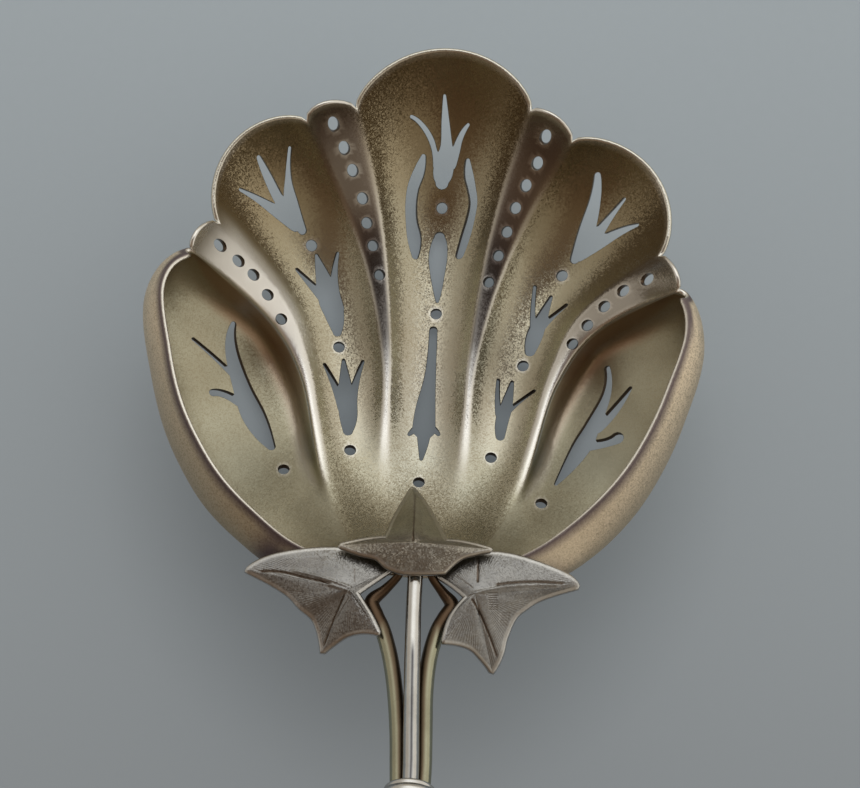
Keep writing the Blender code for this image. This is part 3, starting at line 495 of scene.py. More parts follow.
# The bowl's back, darkened by painted shade by height, towards the heel and towards the left.
BACK_FLECK = 0.4
LOWER_SPAN = (0.013, 0.003)
LOWER_TONE = 0.45
HEELWARD_SPAN = (0.056, 0.034)
LEFTWARD_SPAN = (0.005, -0.005)
HEEL_TONE = (0.25, 0.6)
BROW_TONE = 0.85
# Roughness of the gilding: on a flute and on a wing, then on the parts that differ.
GILT_ROUGH = (0.27, 0.42)
RIB_ROUGH = 0.2
PALE_ROUGH = 0.55
BACK_ROUGH = 0.55
WORN_ROUGH = 0.24
# Cast silver, on the face and at the edge.
CAST_TILT = (0.24, 0.1)
CAST_ROUGH = (0.36, 0.28)
CHASE_STRENGTH = 0.5
CHASE_DEPTH = 0.00001
CAST_MOTTLE = 0.28
GILDED_TONE = 0.5
EDGE_TONE = 0.3
# Polished wire.
WIRE_TILT = 0.03
WIRE_MOTTLE = 0.18
WIRE_ROUGH = (0.14, 0.22)
BROWN_ROUGH = 0.4

# The picture's width, and the camera's lens in pixels of it.
IMAGE_WIDTH = 860
SENSOR = 36.0
FOCAL_PIXELS = 2976.7
CLIP_START = 0.01


class BowlSettings(bpy.types.PropertyGroup):
    """Sizes of the pierced bowl."""

    sheet: bpy.props.FloatProperty(
        name="Sheet", description="Thickness of the pressed sheet", default=0.0006, unit="LENGTH")
    wall_round: bpy.props.FloatProperty(
        name="Sawn Wall Round", description="How far a sawn wall bulges between its edges", default=0.00007,
        unit="LENGTH")
    back_round: bpy.props.FloatProperty(
        name="Back Round", description="Rounding of the grooves behind the ribs, in grid columns",
        default=7.0)
    clear: bpy.props.FloatProperty(
        name="Clear of Saw Lines", description="Least distance from a sheet vertex to a sawn outline",
        default=0.00016, unit="LENGTH")


class LeafSettings(bpy.types.PropertyGroup):
    """Sizes of the cast ivy leaves."""

    thickness: bpy.props.FloatProperty(
        name="Thickness", description="Thickness of the casting", default=0.0007, unit="LENGTH")
    pillow: bpy.props.FloatProperty(
        name="Pillow", description="Rise of the face between two corners", default=0.00018, unit="LENGTH")


class HandleSettings(bpy.types.PropertyGroup):
    """Sizes of the wires and the turned rings."""

    wire: bpy.props.FloatProperty(
        name="Wire", description="Diameter of a stem's wire", default=0.00164, unit="LENGTH")


class FinishSettings(bpy.types.PropertyGroup):
    """Colours of the metals."""

    gilt: bpy.props.FloatVectorProperty(
        name="Gilt", description="Frosted gilding", subtype="COLOR", size=3, default=(0.46, 0.44, 0.33))
    gilt_deep: bpy.props.FloatVectorProperty(
        name="Deep Gilt", description="Toned gilding", subtype="COLOR", size=3, default=(0.30, 0.245, 0.15))
    back: bpy.props.FloatVectorProperty(
        name="Back", description="Toned silver of the bowl's back", subtype="COLOR", size=3,
        default=(0.80, 0.69, 0.53))
    wash: bpy.props.FloatVectorProperty(
        name="Silvery Wash", description="Gilding worn thin above the heel", subtype="COLOR", size=3,
        default=(0.50, 0.495, 0.43))
    # Colour of the painted shade in patches of the gilding.
    patch_shade: bpy.props.FloatVectorProperty(
        name="Dull Gilt", description="Gilding in its duller patches", subtype="COLOR", size=3,
        default=(0.23, 0.22, 0.165))
    # Brown patina towards the rim, with painted shade and reflection.
    far: bpy.props.FloatVectorProperty(
        name="Far Gilt", description="Gilding gone brown towards the rim", subtype="COLOR", size=3,
        default=(0.26, 0.19, 0.10))
    # Painted shade and reflection in the folds and hollows beside the ribs, with some patina.
    fold: bpy.props.FloatVectorProperty(
        name="Fold", description="Gilding rubbed red in the folds beside the ribs", subtype="COLOR", size=3,
        default=(0.40, 0.26, 0.17))
    ribs: bpy.props.FloatVectorProperty(
        name="Ribs", description="Silver of the ribs", subtype="COLOR", size=3, default=(0.54, 0.51, 0.46))
    # Painted reflection of the dark surroundings on the ribs, towards the rim.
    dusk: bpy.props.FloatVectorProperty(
        name="Toned Ribs", description="Silver of the ribs where it is toned", subtype="COLOR", size=3,
        default=(0.19, 0.165, 0.15))
    # Used as a painted reflection on the mid ribs and along the centre wire's top, and for random dark flecks
    # on the leaves.
    navy: bpy.props.FloatVectorProperty(
        name="Dark Ribs", description="Silver of the mid ribs where it is darkest", subtype="COLOR", size=3,
        default=(0.04, 0.04, 0.047))
    # Painted shade under the side rims and in the corners above the side leaves.
    brow: bpy.props.FloatVectorProperty(
        name="Brow", description="Tarnish under the side rims", subtype="COLOR", size=3,
        default=(0.085, 0.06, 0.085))
    bare: bpy.props.FloatVectorProperty(
        name="Bare Silver", description="Silver where the gilding is worn off", subtype="COLOR", size=3,
        default=(0.86, 0.84, 0.79))
    cast: bpy.props.FloatVectorProperty(
        name="Cast Silver", description="Frosted silver of the leaves", subtype="COLOR", size=3,
        default=(0.33, 0.325, 0.31))
    # Brown tarnish in the leaves' veins and the wires' clouds, and painted shade in the saw cuts and on the
    # wires.
    tarnish_and_shade: bpy.props.FloatVectorProperty(
        name="Toned Silver", description="Silver gone brown in the hollows", subtype="COLOR", size=3,
        default=(0.10, 0.065, 0.04))
    polished: bpy.props.FloatVectorProperty(
        name="Polished Silver", description="Polished wire", subtype="COLOR", size=3,
        default=(0.56, 0.55, 0.52))
    washed: bpy.props.FloatVectorProperty(
        name="Washed Silver", description="Side wires with the gilding's last wash", subtype="COLOR", size=3,
        default=(0.34, 0.335, 0.235))


class StageSettings(bpy.types.PropertyGroup):
    """Floor, light and camera."""

    floor: bpy.props.FloatVectorProperty(
        name="Floor", description="Colour of the paper", subtype="COLOR", size=3,
        default=(0.315, 0.362, 0.395))
    azimuth: bpy.props.FloatProperty(
        name="Azimuth", description="Camera's turn round the ladle", subtype="ANGLE", default=np.radians(3.1))
    elevation: bpy.props.FloatProperty(
        name="Elevation", description="Camera's height above the table", subtype="ANGLE",
        default=np.radians(74.0))
    distance: bpy.props.FloatProperty(
        name="Distance", description="From the camera to the bowl", unit="LENGTH", default=0.32)
    target: bpy.props.FloatVectorProperty(
        name="Target", description="Point in the middle of the picture", subtype="XYZ", unit="LENGTH", size=3,
        default=(0.00095, 0.05235, 0.00595))


def placed(points):
    """Bowl millimetres to metres in the model's frame."""
    return (np.asarray(points, float)[..., :3] + SHIFT) * MM


def unit(vectors):
    """Vectors divided by their own length."""
    return vectors / np.maximum(np.linalg.norm(vectors, axis=-1, keepdims=True), 1e-12)


def ramp(low, high, x):
    """Smooth step from 0 at low to 1 at high."""
    u = np.clip((x - low) / (high - low), 0, 1)
    return u * u * (3 - 2 * u)


def spline(points, t):
    """Cubic curve through points at even steps of t from 0 to 1, running on straight past 1."""
    knots = np.asarray(points, float)
    spans = len(knots) - 1
    slope = np.full_like(knots, 1) * (knots[1] - knots[0])
    if spans > 1:
        slope[1:-1] = (knots[2:] - knots[:-2]) / 2
        slope[0] = 2 * (knots[1] - knots[0]) - slope[1]
        slope[-1] = 2 * (knots[-1] - knots[-2]) - slope[-2]
    at = np.asarray(t, float) * spans
    left = np.clip(np.floor(at).astype(int), 0, spans - 1)
    f = np.clip(at - left, 0, 1)[..., None]
    past = np.maximum(at - spans, 0)[..., None]
    ends = knots[left] * (1 + 2 * f) * (1 - f) ** 2 + knots[left + 1] * f * f * (3 - 2 * f)
    turns = slope[left] * f * (1 - f) ** 2 + slope[left + 1] * f * f * (f - 1)
    return ends + turns + past * slope[-1]


def on_crest(plan):
    """A plan place raised to the bowl that the ribs' crests lie on: floor plus rise times reach to a
    power."""
    reach = np.hypot(plan[..., 0] / HALF_WIDTH, (plan[..., 1] - HALF_LENGTH) / HALF_LENGTH)
    height = FLOOR + (RIM - FLOOR) * reach**WALL_POWER
    return np.concatenate([plan, height[..., None]], -1)


def guide(index, t):
    """Rib edges 1 to 4 and the side rim 5, counted out from the middle, on the left where index is
    negative."""
    order = abs(index)
    if order == SIDE_RIM:
        return spline(LEFT_SIDE_RIM if index < 0 else RIGHT_SIDE_RIM, t)
    ends = LEFT_RIB_ENDS if index < 0 else RIGHT_RIB_ENDS
    plan = spline(RIB_EDGES[order - 1] + [ends[order - 1]], t)
    return on_crest(plan * [np.sign(index), 1])


def is_wing(sector):
    """Whether the sector reaches a side rim."""
    return SIDE_RIM in (abs(sector.first), abs(sector.last))


def rim_reach(sector, k):
    """How far along its length the sheet runs at a share k across the sector: from notch to notch, and out by
    the lobe's growth between them."""
    level = NOTCHES[sector.first] * (1 - k) + NOTCHES[sector.last] * k
    return level + sector.growth * np.sin(np.pi * k) ** LOBE_POWER


def wing_points(sector, k, t):
    """Places in a wing: the drawn section, laid from the low rib to the side rim and swept from heel to
    rim."""
    on_left = sector.first == -SIDE_RIM
    rib = guide(sector.last if on_left else sector.first, t)
    rim = guide(sector.first if on_left else sector.last, t)
    s = 1 - k if on_left else k
    across, rib_share, rim_share, hang_share = np.moveaxis(spline(WING_SECTION, s), -1, 0)
    span = rim - rib
    width = np.linalg.norm(span, axis=-1)
    full = WING_AT_HEEL + (1 - WING_AT_HEEL) * ramp(0.0, WING_FULL_FROM, t)
    drops = np.array(LEFT_DROPS if on_left else RIGHT_DROPS)[:, None]
    deepest = rib[..., 2] - spline(drops, t)[..., 0] * width
    floor = (WING_FLOOR + deepest + np.hypot(WING_FLOOR - deepest, WING_BLEND)) / 2
    most = LEFT_OVERHANG if on_left else RIGHT_OVERHANG
    hang = most * WING_HANG * width / np.hypot(most, WING_HANG * width) * ramp(0.0, HANG_FULL_FROM, t)
    across = s + (across - s) * full
    level = rib[..., 2] + span[..., 2] * across
    drawn = floor + (rib[..., 2] - floor) * rib_share + (rim[..., 2] - floor) * rim_share
    aside = unit(span[..., :2]) * (hang * hang_share)[..., None]
    plan = rib[..., :2] + span[..., :2] * across[..., None] + aside
    return np.concatenate([plan, (level + (drawn - level) * full)[..., None]], -1)


def sector_points(sector, k, t):
    """Places in the sector between two guides: an arc across from guide to guide, swept from heel to rim."""
    left, right = guide(sector.first, t), guide(sector.last, t)
    earlier = np.maximum(t - GUIDE_STEP, 0)
    before = guide(sector.first, earlier) + guide(sector.last, earlier)
    after = guide(sector.first, t + GUIDE_STEP) + guide(sector.last, t + GUIDE_STEP)
    chord = right - left
    width = np.linalg.norm(chord, axis=-1, keepdims=True)
    outward = unit(np.cross(after - before, chord))
    wing = is_wing(sector)
    turn = np.radians(sector.turn) * (1.0 if wing else ramp(FLUTES_FROM, FLUTES_FULL_FROM, t))
    turn = np.where(np.abs(turn) < LEAST_TURN, LEAST_TURN, turn)
    swing = turn * (k - 0.5)
    across = 0.5 + np.sin(swing) / (2 * np.sin(turn / 2))
    sag = (np.cos(swing) - np.cos(turn / 2)) / (2 * np.sin(turn / 2))
    arc = left + chord * across[..., None] + outward * width * sag[..., None]
    if not wing:
        return arc
    return arc + (wing_points(sector, k, t) - arc) * ramp(1.0, WING_DRAWN_TO, t)[..., None]


def soften(grid, spread):
    """Bell-weighted mean of each column with its neighbours, spread columns wide, keeping the two side
    edges."""
    reach = int(np.ceil(3 * spread))
    before = 2 * grid[:1] - grid[reach:0:-1]
    after = 2 * grid[-1:] - grid[-2 : -reach - 2 : -1]
    wide = np.concatenate([before, grid, after])
    offsets = np.arange(-reach, reach + 1)
    weights = np.exp(-0.5 * (offsets / spread) ** 2)
    weights /= weights.sum()
    return sum(w * wide[reach + o : reach + o + len(grid)] for w, o in zip(weights, offsets))


def spread_round(values, spread):
    """Bell-weighted mean of values along closed loops, spread places wide, by damping the loop's waves."""
    waves = np.fft.rfftfreq(values.shape[1])
    damped = np.fft.rfft(values, axis=1) * np.exp(-2 * (np.pi * waves * spread) ** 2)
    return np.fft.irfft(damped, values.shape[1], axis=1)


def grid_normals(grid):
    """Unit cross product of the steps across and along, pointing up into the bowl."""
    return unit(np.cross(np.gradient(grid, axis=0), np.gradient(grid, axis=1)))


class BowlFace:
    """The bowl's inner face on a fine grid: columns from the left side rim to the right, rows from heel to
    rim."""

    def __init__(self, settings):
        t = np.linspace(0, RUN_PAST, FINE_ROWS)
        drawn = {key: [] for key in ("place", "rib", "wing", "fold", "dusk", "dark", "pale", "firm", "reach")}
        for sector in SECTORS:
            for key, values in self.sector_values(sector, t).items():
                drawn[key].append(values)
        drawn = {key: np.concatenate(values) for key, values in drawn.items()}
        sharp = drawn["place"]
        knots = [share for share, _ in ROUNDING]
        rounded = sum(
            soften(sharp, spread) * np.interp(t, knots, weight)[None, :, None]
            for (_, spread), weight in zip(ROUNDING, np.eye(len(ROUNDING))))
        # The side walls stay as they are drawn.
        rounded += (soften(sharp, ROUNDING[-1][1]) - rounded) * drawn["firm"][..., None]
        normals = grid_normals(rounded)
        # The outer face is set off along normals spread wider, so that it doesn't fold under a ridge.
        outward = -unit(soften(normals, settings.back_round))
        outer = rounded + outward * settings.sheet / MM
        outer[..., 2] = np.maximum(outer[..., 2], -SHIFT[2])
        step = np.gradient(rounded, axis=0)
        bend = np.sum(np.gradient(unit(step), axis=0) * normals, -1)
        # Ridges and ribs lie down and go gilt before they reach the heel.
        rising = ramp(*RIDGE_RISES, t)
        crest = -bend / np.maximum(np.linalg.norm(step, axis=-1), LEAST_STEP) * rising
        columns, tau = np.meshgrid(np.arange(len(sharp)), np.linspace(0, 1, FINE_ROWS), indexing="ij")
        rows = tau * drawn["reach"][:, None] / RUN_PAST * (FINE_ROWS - 1)

        def cut_to_rim(values):
            """Values on the grid, read again on one that ends at the rim."""
            return self.read(values, columns.ravel(), rows.ravel()).reshape(values.shape)

        self.points = cut_to_rim(rounded)
        self.normals = unit(cut_to_rim(normals))
        self.outer = cut_to_rim(outer)
        self.outer_normals = unit(cut_to_rim(-grid_normals(outer)))
        self.crest = cut_to_rim(crest)
        self.fold = cut_to_rim(drawn["fold"])
        masks = {
            key: cut_to_rim(soften(drawn[key][..., None], EDGE_BLUR)[..., 0])
            for key in ("rib", "wing", "dusk", "dark", "pale")}
        self.rib = masks["rib"]
        self.wing = masks["wing"]
        # The shield between the lyre slots darkens with the flutes: patina with painted shade and reflection.
        shield = np.exp(-(((self.points[..., :2] - SHIELD) / SHIELD_SIZE) ** 2).sum(-1))
        self.dusk = np.maximum(masks["dusk"], SHIELD_TONE * shield)
        self.dark = masks["dark"]
        self.pale = masks["pale"]
        # Patches of painted shade.
        x, y, reach, strength = np.array(SHADE_SPOTS).T
        gaps = np.hypot(self.points[..., :1] - x, self.points[..., 1:2] - y) / reach
        self.shade_patches = (strength * np.exp(-(gaps**2))).max(-1)
        gaps = (self.points[..., :2] - SILVERED) / SILVERED_SIZE
        self.silvered = SILVERED_TONE * np.exp(-(gaps**2).sum(-1))
        # Even measures of the grid, near millimetres, for laying out triangles.
        row = int(MEASURED_ROW * FINE_ROWS)
        lengths = np.linalg.norm(np.diff(self.points[:, row], axis=0), axis=1)
        self.across = np.concatenate([[0], np.cumsum(lengths)])
        self.along = np.linspace(0, 1, FINE_ROWS) * MEASURED_LENGTH

    def sector_values(self, sector, t):
        """A sector's places, and the values of its masks, on its own columns and on the rows at t."""
        count = sector.columns + (sector.last == SIDE_RIM)
        share = np.arange(count) / sector.columns
        k, rows = np.meshgrid(share, t, indexing="ij")
        wing = is_wing(sector)
        beside = (share if sector.first == -SIDE_RIM else 1 - share)[:, None]
        whole = np.ones((count, FINE_ROWS))
        # Darkening towards the rim: a painted reflection on the ribs, and patina with painted shade and
        # reflection on the flutes.
        start, full, most = RIB_REFLECTION_DARKENING.get(sector.first, FLUTE_PATINA_AND_SHADE)
        fade_in, fade_out = DARK_FADES
        band = ramp(DARK_FROM - fade_in, DARK_FROM + fade_in, t)
        band = band * ramp(DARK_TO + fade_out, DARK_TO - fade_out, t)
        # The left low rib's painted highlight spills into the next flute.
        spill = (sector.first == PALE_RIB + 1) * ramp(*PALE_SPILL, share)[:, None]
        return {
            "place": sector_points(sector, k, rows),
            "rib": whole * (sector.turn < 0) * ramp(*RIB_BARE, t),
            "wing": whole * wing,
            "fold": wing * ramp(*FOLD_ACROSS, beside) * ramp(*FOLD_ALONG, t),
            "dusk": whole * most * ramp(start, full, t) * (not wing),
            "dark": whole * (sector.first in DARK_RIBS) * band,
            "pale": whole * ((sector.first == PALE_RIB) + spill) * ramp(*PALE_ALONG, t) * ramp(*PALE_RIM, t),
            "firm": whole * wing * ramp(*FIRM_ACROSS, beside),
            "reach": rim_reach(sector, share),
        }

    def read(self, values, columns, rows):
        """Values of the grid between its places, weighted by nearness."""
        i = np.clip(np.floor(columns), 0, values.shape[0] - 2).astype(int)
        j = np.clip(np.floor(rows), 0, values.shape[1] - 2).astype(int)
        f = columns - i
        g = rows - j
        if values.ndim == 3:
            f = f[:, None]
            g = g[:, None]
        low = values[i, j] * (1 - f) + values[i + 1, j] * f
        high = values[i, j + 1] * (1 - f) + values[i + 1, j + 1] * f
        return low * (1 - g) + high * g

    def find(self, plan):
        """Column and row under plan places: the nearest coarse grid place, then Newton steps on the grid."""
        tops = self.points[::GUESS_STEP, ::GUESS_STEP]
        level = self.normals[::GUESS_STEP, ::GUESS_STEP, 2] > GUESS_LEVEL
        spots = np.argwhere(level)
        gaps = np.linalg.norm(plan[:, None] - tops[level][None, :, :2], axis=-1)
        nearest = spots[np.argmin(gaps, axis=1)] * float(GUESS_STEP)
        columns = nearest[:, 0]
        rows = nearest[:, 1]
        half = 0.5
        for _ in range(SEARCH_STEPS):
            here = self.read(self.points, columns, rows)[:, :2]
            right = self.read(self.points, columns + half, rows)[:, :2]
            left = self.read(self.points, columns - half, rows)[:, :2]
            far = self.read(self.points, columns, rows + half)[:, :2]
            near = self.read(self.points, columns, rows - half)[:, :2]
            slopes = np.stack([right - left, far - near], -1)
            step = np.linalg.solve(slopes, (plan - here)[..., None])[..., 0]
            step = np.clip(step, -SEARCH_MOST, SEARCH_MOST)
            columns = columns + step[:, 0]
            rows = rows + step[:, 1]
        return columns, rows

    def flat(self, columns, rows):
        """Grid places on the even measures."""
        count = np.arange(len(self.across))
        return np.stack([np.interp(columns, count, self.across), rows * self.along[1]], -1)

    def unflat(self, flat):
        """Even measures back to column and row."""
        count = np.arange(len(self.across))
        return np.interp(flat[:, 0], self.across, count), flat[:, 1] / self.along[1]


def stroke_outline(stroke, wider):
    """Plan outline of a sawn stroke: a middle line set off half its width to each side, with round ends."""
    run = spline(stroke, np.linspace(0, 1, STROKE_STEPS))
    half = run[:, 2:] / 2 + wider
    along = unit(np.gradient(run[:, :2], axis=0))
    aside = np.stack([-along[:, 1], along[:, 0]], -1)
    turn = np.linspace(0, np.pi, STROKE_END_STEPS + 2)[1:-1, None]
    end = run[-1, :2] + half[-1] * (aside[-1] * np.cos(turn) + along[-1] * np.sin(turn))
    start = run[0, :2] - half[0] * (aside[0] * np.cos(turn) + along[0] * np.sin(turn))
    left = run[:, :2] + aside * half
    right = run[:, :2] - aside * half
    return np.concatenate([right, end[::-1], left[::-1], start[::-1]])


def hole_outline(centre, wider):
    """Plan circle round a drilled hole."""
    angle = np.linspace(0, 2 * np.pi, HOLE_SIDES, endpoint=False)
    return np.asarray(centre) + (HOLE / 2 + wider) * np.stack([np.cos(angle), np.sin(angle)], -1)


def least_gap(points, others):
    """Distance from each point to the nearest of the others, worked out in slices."""
    slices = np.array_split(points.astype(np.float32), max(1, len(points) // SLICE))
    rest = others.astype(np.float32)
    square = (rest**2).sum(1)
    gaps = [(p**2).sum(1)[:, None] + square - 2 * p @ rest.T for p in slices]
    return np.sqrt(np.maximum(np.concatenate([g.min(1) for g in gaps]), 0))


def pierced_sheet(face, wider, clear):
    """Columns, rows and triangles of the pierced sheet: Delaunay triangles on the even measures, less those
    that lie inside a sawn outline."""
    outlines = [stroke_outline(stroke, wider) for stroke in STROKES.values()]
    outlines += [hole_outline(centre, wider) for centre in HOLES]
    counts = [len(outline) for outline in outlines]
    sawn_columns, sawn_rows = face.find(np.concatenate(outlines))
    sawn = face.read(face.points, sawn_columns, sawn_rows)
    last_column = len(face.across) - 1
    last_row = FINE_ROWS - 1
    columns, rows = np.meshgrid(
        np.arange(0, last_column + 1, SHEET_STEP), np.arange(0, last_row + 1, SHEET_STEP), indexing="ij")
    columns = columns.ravel().astype(float)
    rows = rows.ravel().astype(float)
    on_rim = (columns == 0) | (columns == last_column) | (rows == 0) | (rows == last_row)
    gap = least_gap(face.read(face.points, columns, rows), sawn)
    keep = on_rim | (gap > clear / MM)
    columns = columns[keep]
    rows = rows[keep]
    corners = np.array([(0, 0), (last_column, 0), (last_column, last_row), (0, last_row)], float)
    spots = np.concatenate([
        face.flat(corners[:, 0], corners[:, 1]), face.flat(sawn_columns, sawn_rows),
        face.flat(columns, rows)])
    starts = np.cumsum([len(corners)] + counts[:-1])
    loops = [list(range(len(corners)))] + [list(range(a, a + n)) for a, n in zip(starts, counts)]
    made = delaunay_2d_cdt(list(map(Vector, spots.tolist())), [], loops, KEEP_INSIDE, MERGE_GAP, True)
    inside = np.fromiter(map(len, made[5]), int)
    triangles = np.array(made[2])[inside == 1]
    used, triangles = np.unique(triangles, return_inverse=True)
    columns, rows = face.unflat(np.array([tuple(v) for v in made[0]])[used])
    drilled = sawn[-len(HOLES) * HOLE_SIDES :]
    return columns, rows, triangles.reshape(-1, 3), drilled


def open_edges(triangles):
    """Directed edges that only one triangle has."""
    edges = np.concatenate([triangles[:, [0, 1]], triangles[:, [1, 2]], triangles[:, [2, 0]]])
    size = triangles.max() + 1
    return edges[~np.isin(edges[:, 0] * size + edges[:, 1], edges[:, 1] * size + edges[:, 0])]


def edge_outward(points, normals, edges):
    """Unit vectors at the open edges' ends that lie in the sheet and point off it."""
    along = unit(points[edges[:, 1]] - points[edges[:, 0]])
    total = np.zeros_like(points)
    np.add.at(total, edges[:, 0], along)
    np.add.at(total, edges[:, 1], along)
    return unit(np.cross(unit(total), normals))


def make_mesh(name, points, faces, attributes=None, corner_normals=None):
    """A smooth-shaded mesh object at the origin, with per-vertex values for its material, and with a normal
    for each face's corner where they are worked out."""
    mesh = bpy.data.meshes.new(name)
    mesh.from_pydata(points.tolist(), [], faces)
    for key, values in (attributes or {}).items():
        layer = mesh.attributes.new(key, "FLOAT", "POINT")
        layer.data.foreach_set("value", np.asarray(values, np.float32))
    mesh.shade_smooth()
    if corner_normals is not None:
        mesh.normals_split_custom_set(corner_normals.tolist())
    made = bpy.data.objects.new(name, mesh)
    bpy.context.scene.collection.objects.link(made)
    return made


def stand_for(piece, node, material):
    """Puts a finished piece in a node's place."""
    piece.data.materials.append(material)
    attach(piece, BODY)
    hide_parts(node)


def bowl_mesh(settings):
    """The pierced sheet with its outer face set off by the sheet's thickness, and walls that bulge between
    the two faces: half round at the rim, nearly flat in the piercings."""
    face = BowlFace(settings)
    wider = settings.wall_round / MM
    columns, rows, triangles, drilled = pierced_sheet(face, wider, settings.clear)
    inner = face.read(face.points, columns, rows)
    normals = unit(face.read(face.normals, columns, rows))
    outer = face.read(face.outer, columns, rows)
    outer_normals = unit(face.read(face.outer_normals, columns, rows))
    edges = open_edges(triangles)
    brink = np.unique(edges)
    last_column = len(face.across) - 1
    inset = np.minimum(columns, last_column - columns)
    on_rim = np.minimum(inset, np.minimum(rows, FINE_ROWS - 1 - rows)) < RIM_NEAR
    rim = on_rim[brink][:, None]
    off = edge_outward(inner, normals, edges)[brink]
    middle = (inner + outer)[brink] / 2
    half = (inner - outer)[brink] / 2
    half_length = np.linalg.norm(half, axis=1, keepdims=True)
    angle = np.pi * np.arange(WALL_ROWS + 1)[:, None, None] / WALL_ROWS
    bulge = np.where(rim, half_length * np.sin(angle), wider * np.sin(angle) ** SAWN_POWER)
    walls = middle + half * np.cos(angle) + off * bulge
    round_normals = unit(unit(half) * np.cos(angle) + off * np.sin(angle))
    flat_normals = unit(unit(half) * SAWN_LEAN * np.cos(angle) ** SAWN_LEAN_POWER + off)
    wall_normals = np.where(rim, round_normals, flat_normals)
    count = len(inner)
    spots = np.arange(count)
    place = np.zeros(count, int)
    place[brink] = np.arange(len(brink))
    rings = [spots]
    rings += [2 * count + j * len(brink) + place for j in range(WALL_ROWS - 1)]
    rings.append(spots + count)
    points = np.concatenate([inner, outer] + list(walls[1:-1]))
    first, last = edges.T
    quads = []
    quad_normals = []
    for j in range(WALL_ROWS):
        quads.append(np.stack([rings[j][last], rings[j][first], rings[j + 1][first], rings[j + 1][last]], 1))
        here, beyond = wall_normals[j][place], wall_normals[j + 1][place]
        quad_normals.append(np.stack([here[last], here[first], beyond[first], beyond[last]], 1))
    back = triangles[:, ::-1]
    faces = triangles.tolist() + (back + count).tolist() + np.concatenate(quads).tolist()
    corner_normals = np.concatenate([
        normals[triangles].reshape(-1, 3), outer_normals[back].reshape(-1, 3),
        np.concatenate(quad_normals).reshape(-1, 3)])
    drill_gap = least_gap(inner, drilled)
    rim_gap = least_gap(inner, inner[on_rim])
    crest = face.read(face.crest, columns, rows)
    rib = face.read(face.rib, columns, rows)
    wing = face.read(face.wing, columns, rows)
    dusk = face.read(face.dusk, columns, rows)
    # Painted shade under the side rims, and painted shadow in the corners above the side leaves.
    brow = wing * ramp(*BROW_FADE, rim_gap)
    for x, y, reach, strength in CORNERS:
        gap = np.hypot(outer[:, 0] - x, outer[:, 1] - y) / reach
        brow = np.maximum(brow, strength * np.exp(-(gap**2)))
    wall_rim = on_rim[brink].astype(float)
    # The painted shade under the rims starts on the rim wall's under half.
    under = ramp(*RIM_UNDER, np.arange(1, WALL_ROWS) / WALL_ROWS)[:, None] * wall_rim * wing[brink]
    band_start, band_end = WING_RIM_ADDS
    band = 1 - ramp(band_start * wing, RIM_BAND + band_end * wing, rim_gap)
    none = np.zeros(count)
    bare_wall = np.zeros((WALL_ROWS - 1, len(brink)))

    def laid_out(inside, outside=none, wall=bare_wall):
        """Values of the inner face, the outer face and the walls, in the order of the vertices."""
        return np.concatenate([inside, outside, (wall + bare_wall).ravel()])

    attributes = {
        "rim": laid_out(band, wall=wall_rim - under),
        "burr": laid_out(1 - ramp(*BURR_FADE, drill_gap)),
        "sawn": laid_out(none, wall=1 - wall_rim),
        "wing": laid_out(wing, wing, wing[brink]),
        "crest": laid_out(crest),
        "rib": laid_out(rib, rib, rib[brink]),
        "dusk": laid_out(dusk),
        "brow": laid_out(none, brow, under),
        "outside": laid_out(none, none + 1, under),
    }
    for key in ("fold", "dark", "pale", "shade_patches", "silvered"):
        attributes[key] = laid_out(face.read(getattr(face, key), columns, rows))
    return make_mesh("pierced_bowl", placed(points), faces, attributes, corner_normals)


def ring_quads(at):
    """Quads between neighbouring rings of vertices, and each vertex's next one on its ring."""
    nxt = np.roll(at, -1, 1)
    return np.stack([at[:-1], at[1:], nxt[1:], nxt[:-1]], -1).reshape(-1, 4), nxt


def outline_of(runs):
    """The closed outline as one loop of places, with each place's share along its run."""
    share = np.linspace(0, 1, RUN_STEPS, endpoint=False)
    loop = np.concatenate([spline(run, share) for run in runs])
    return loop, np.tile(share, len(runs))


def engraving(plan, lines, hatches):
    """Depth cut at plan places, the sum over the lines of depth times a bell of the distance to the line,
    and the share of the deepest cut, without the ridges."""
    steps = np.linspace(0, 1, LINE_STEPS)
    drawn = [(kind, spline(line, steps)) for kind, line in lines]
    for start, end, last_start, last_end, count in hatches:
        row = np.linspace(0, 1, count)[:, None, None]
        first = np.array([start, end], float)
        ends = first + (np.array([last_start, last_end], float) - first) * row
        run = ends[:, :1] + (ends[:, 1:] - ends[:, :1]) * steps[::HATCH_STEP, None]
        drawn.append((TICK, run.reshape(-1, 2)))
    depth = np.zeros(len(plan))
    dark = np.zeros(len(plan))
    for (cut, width), places in drawn:
        bell = np.exp(-((least_gap(plan, places) / width) ** 2))
        depth += cut * bell
        dark = np.maximum(dark, bell * np.clip(cut / VEIN[0], 0, 1))
    return depth, dark


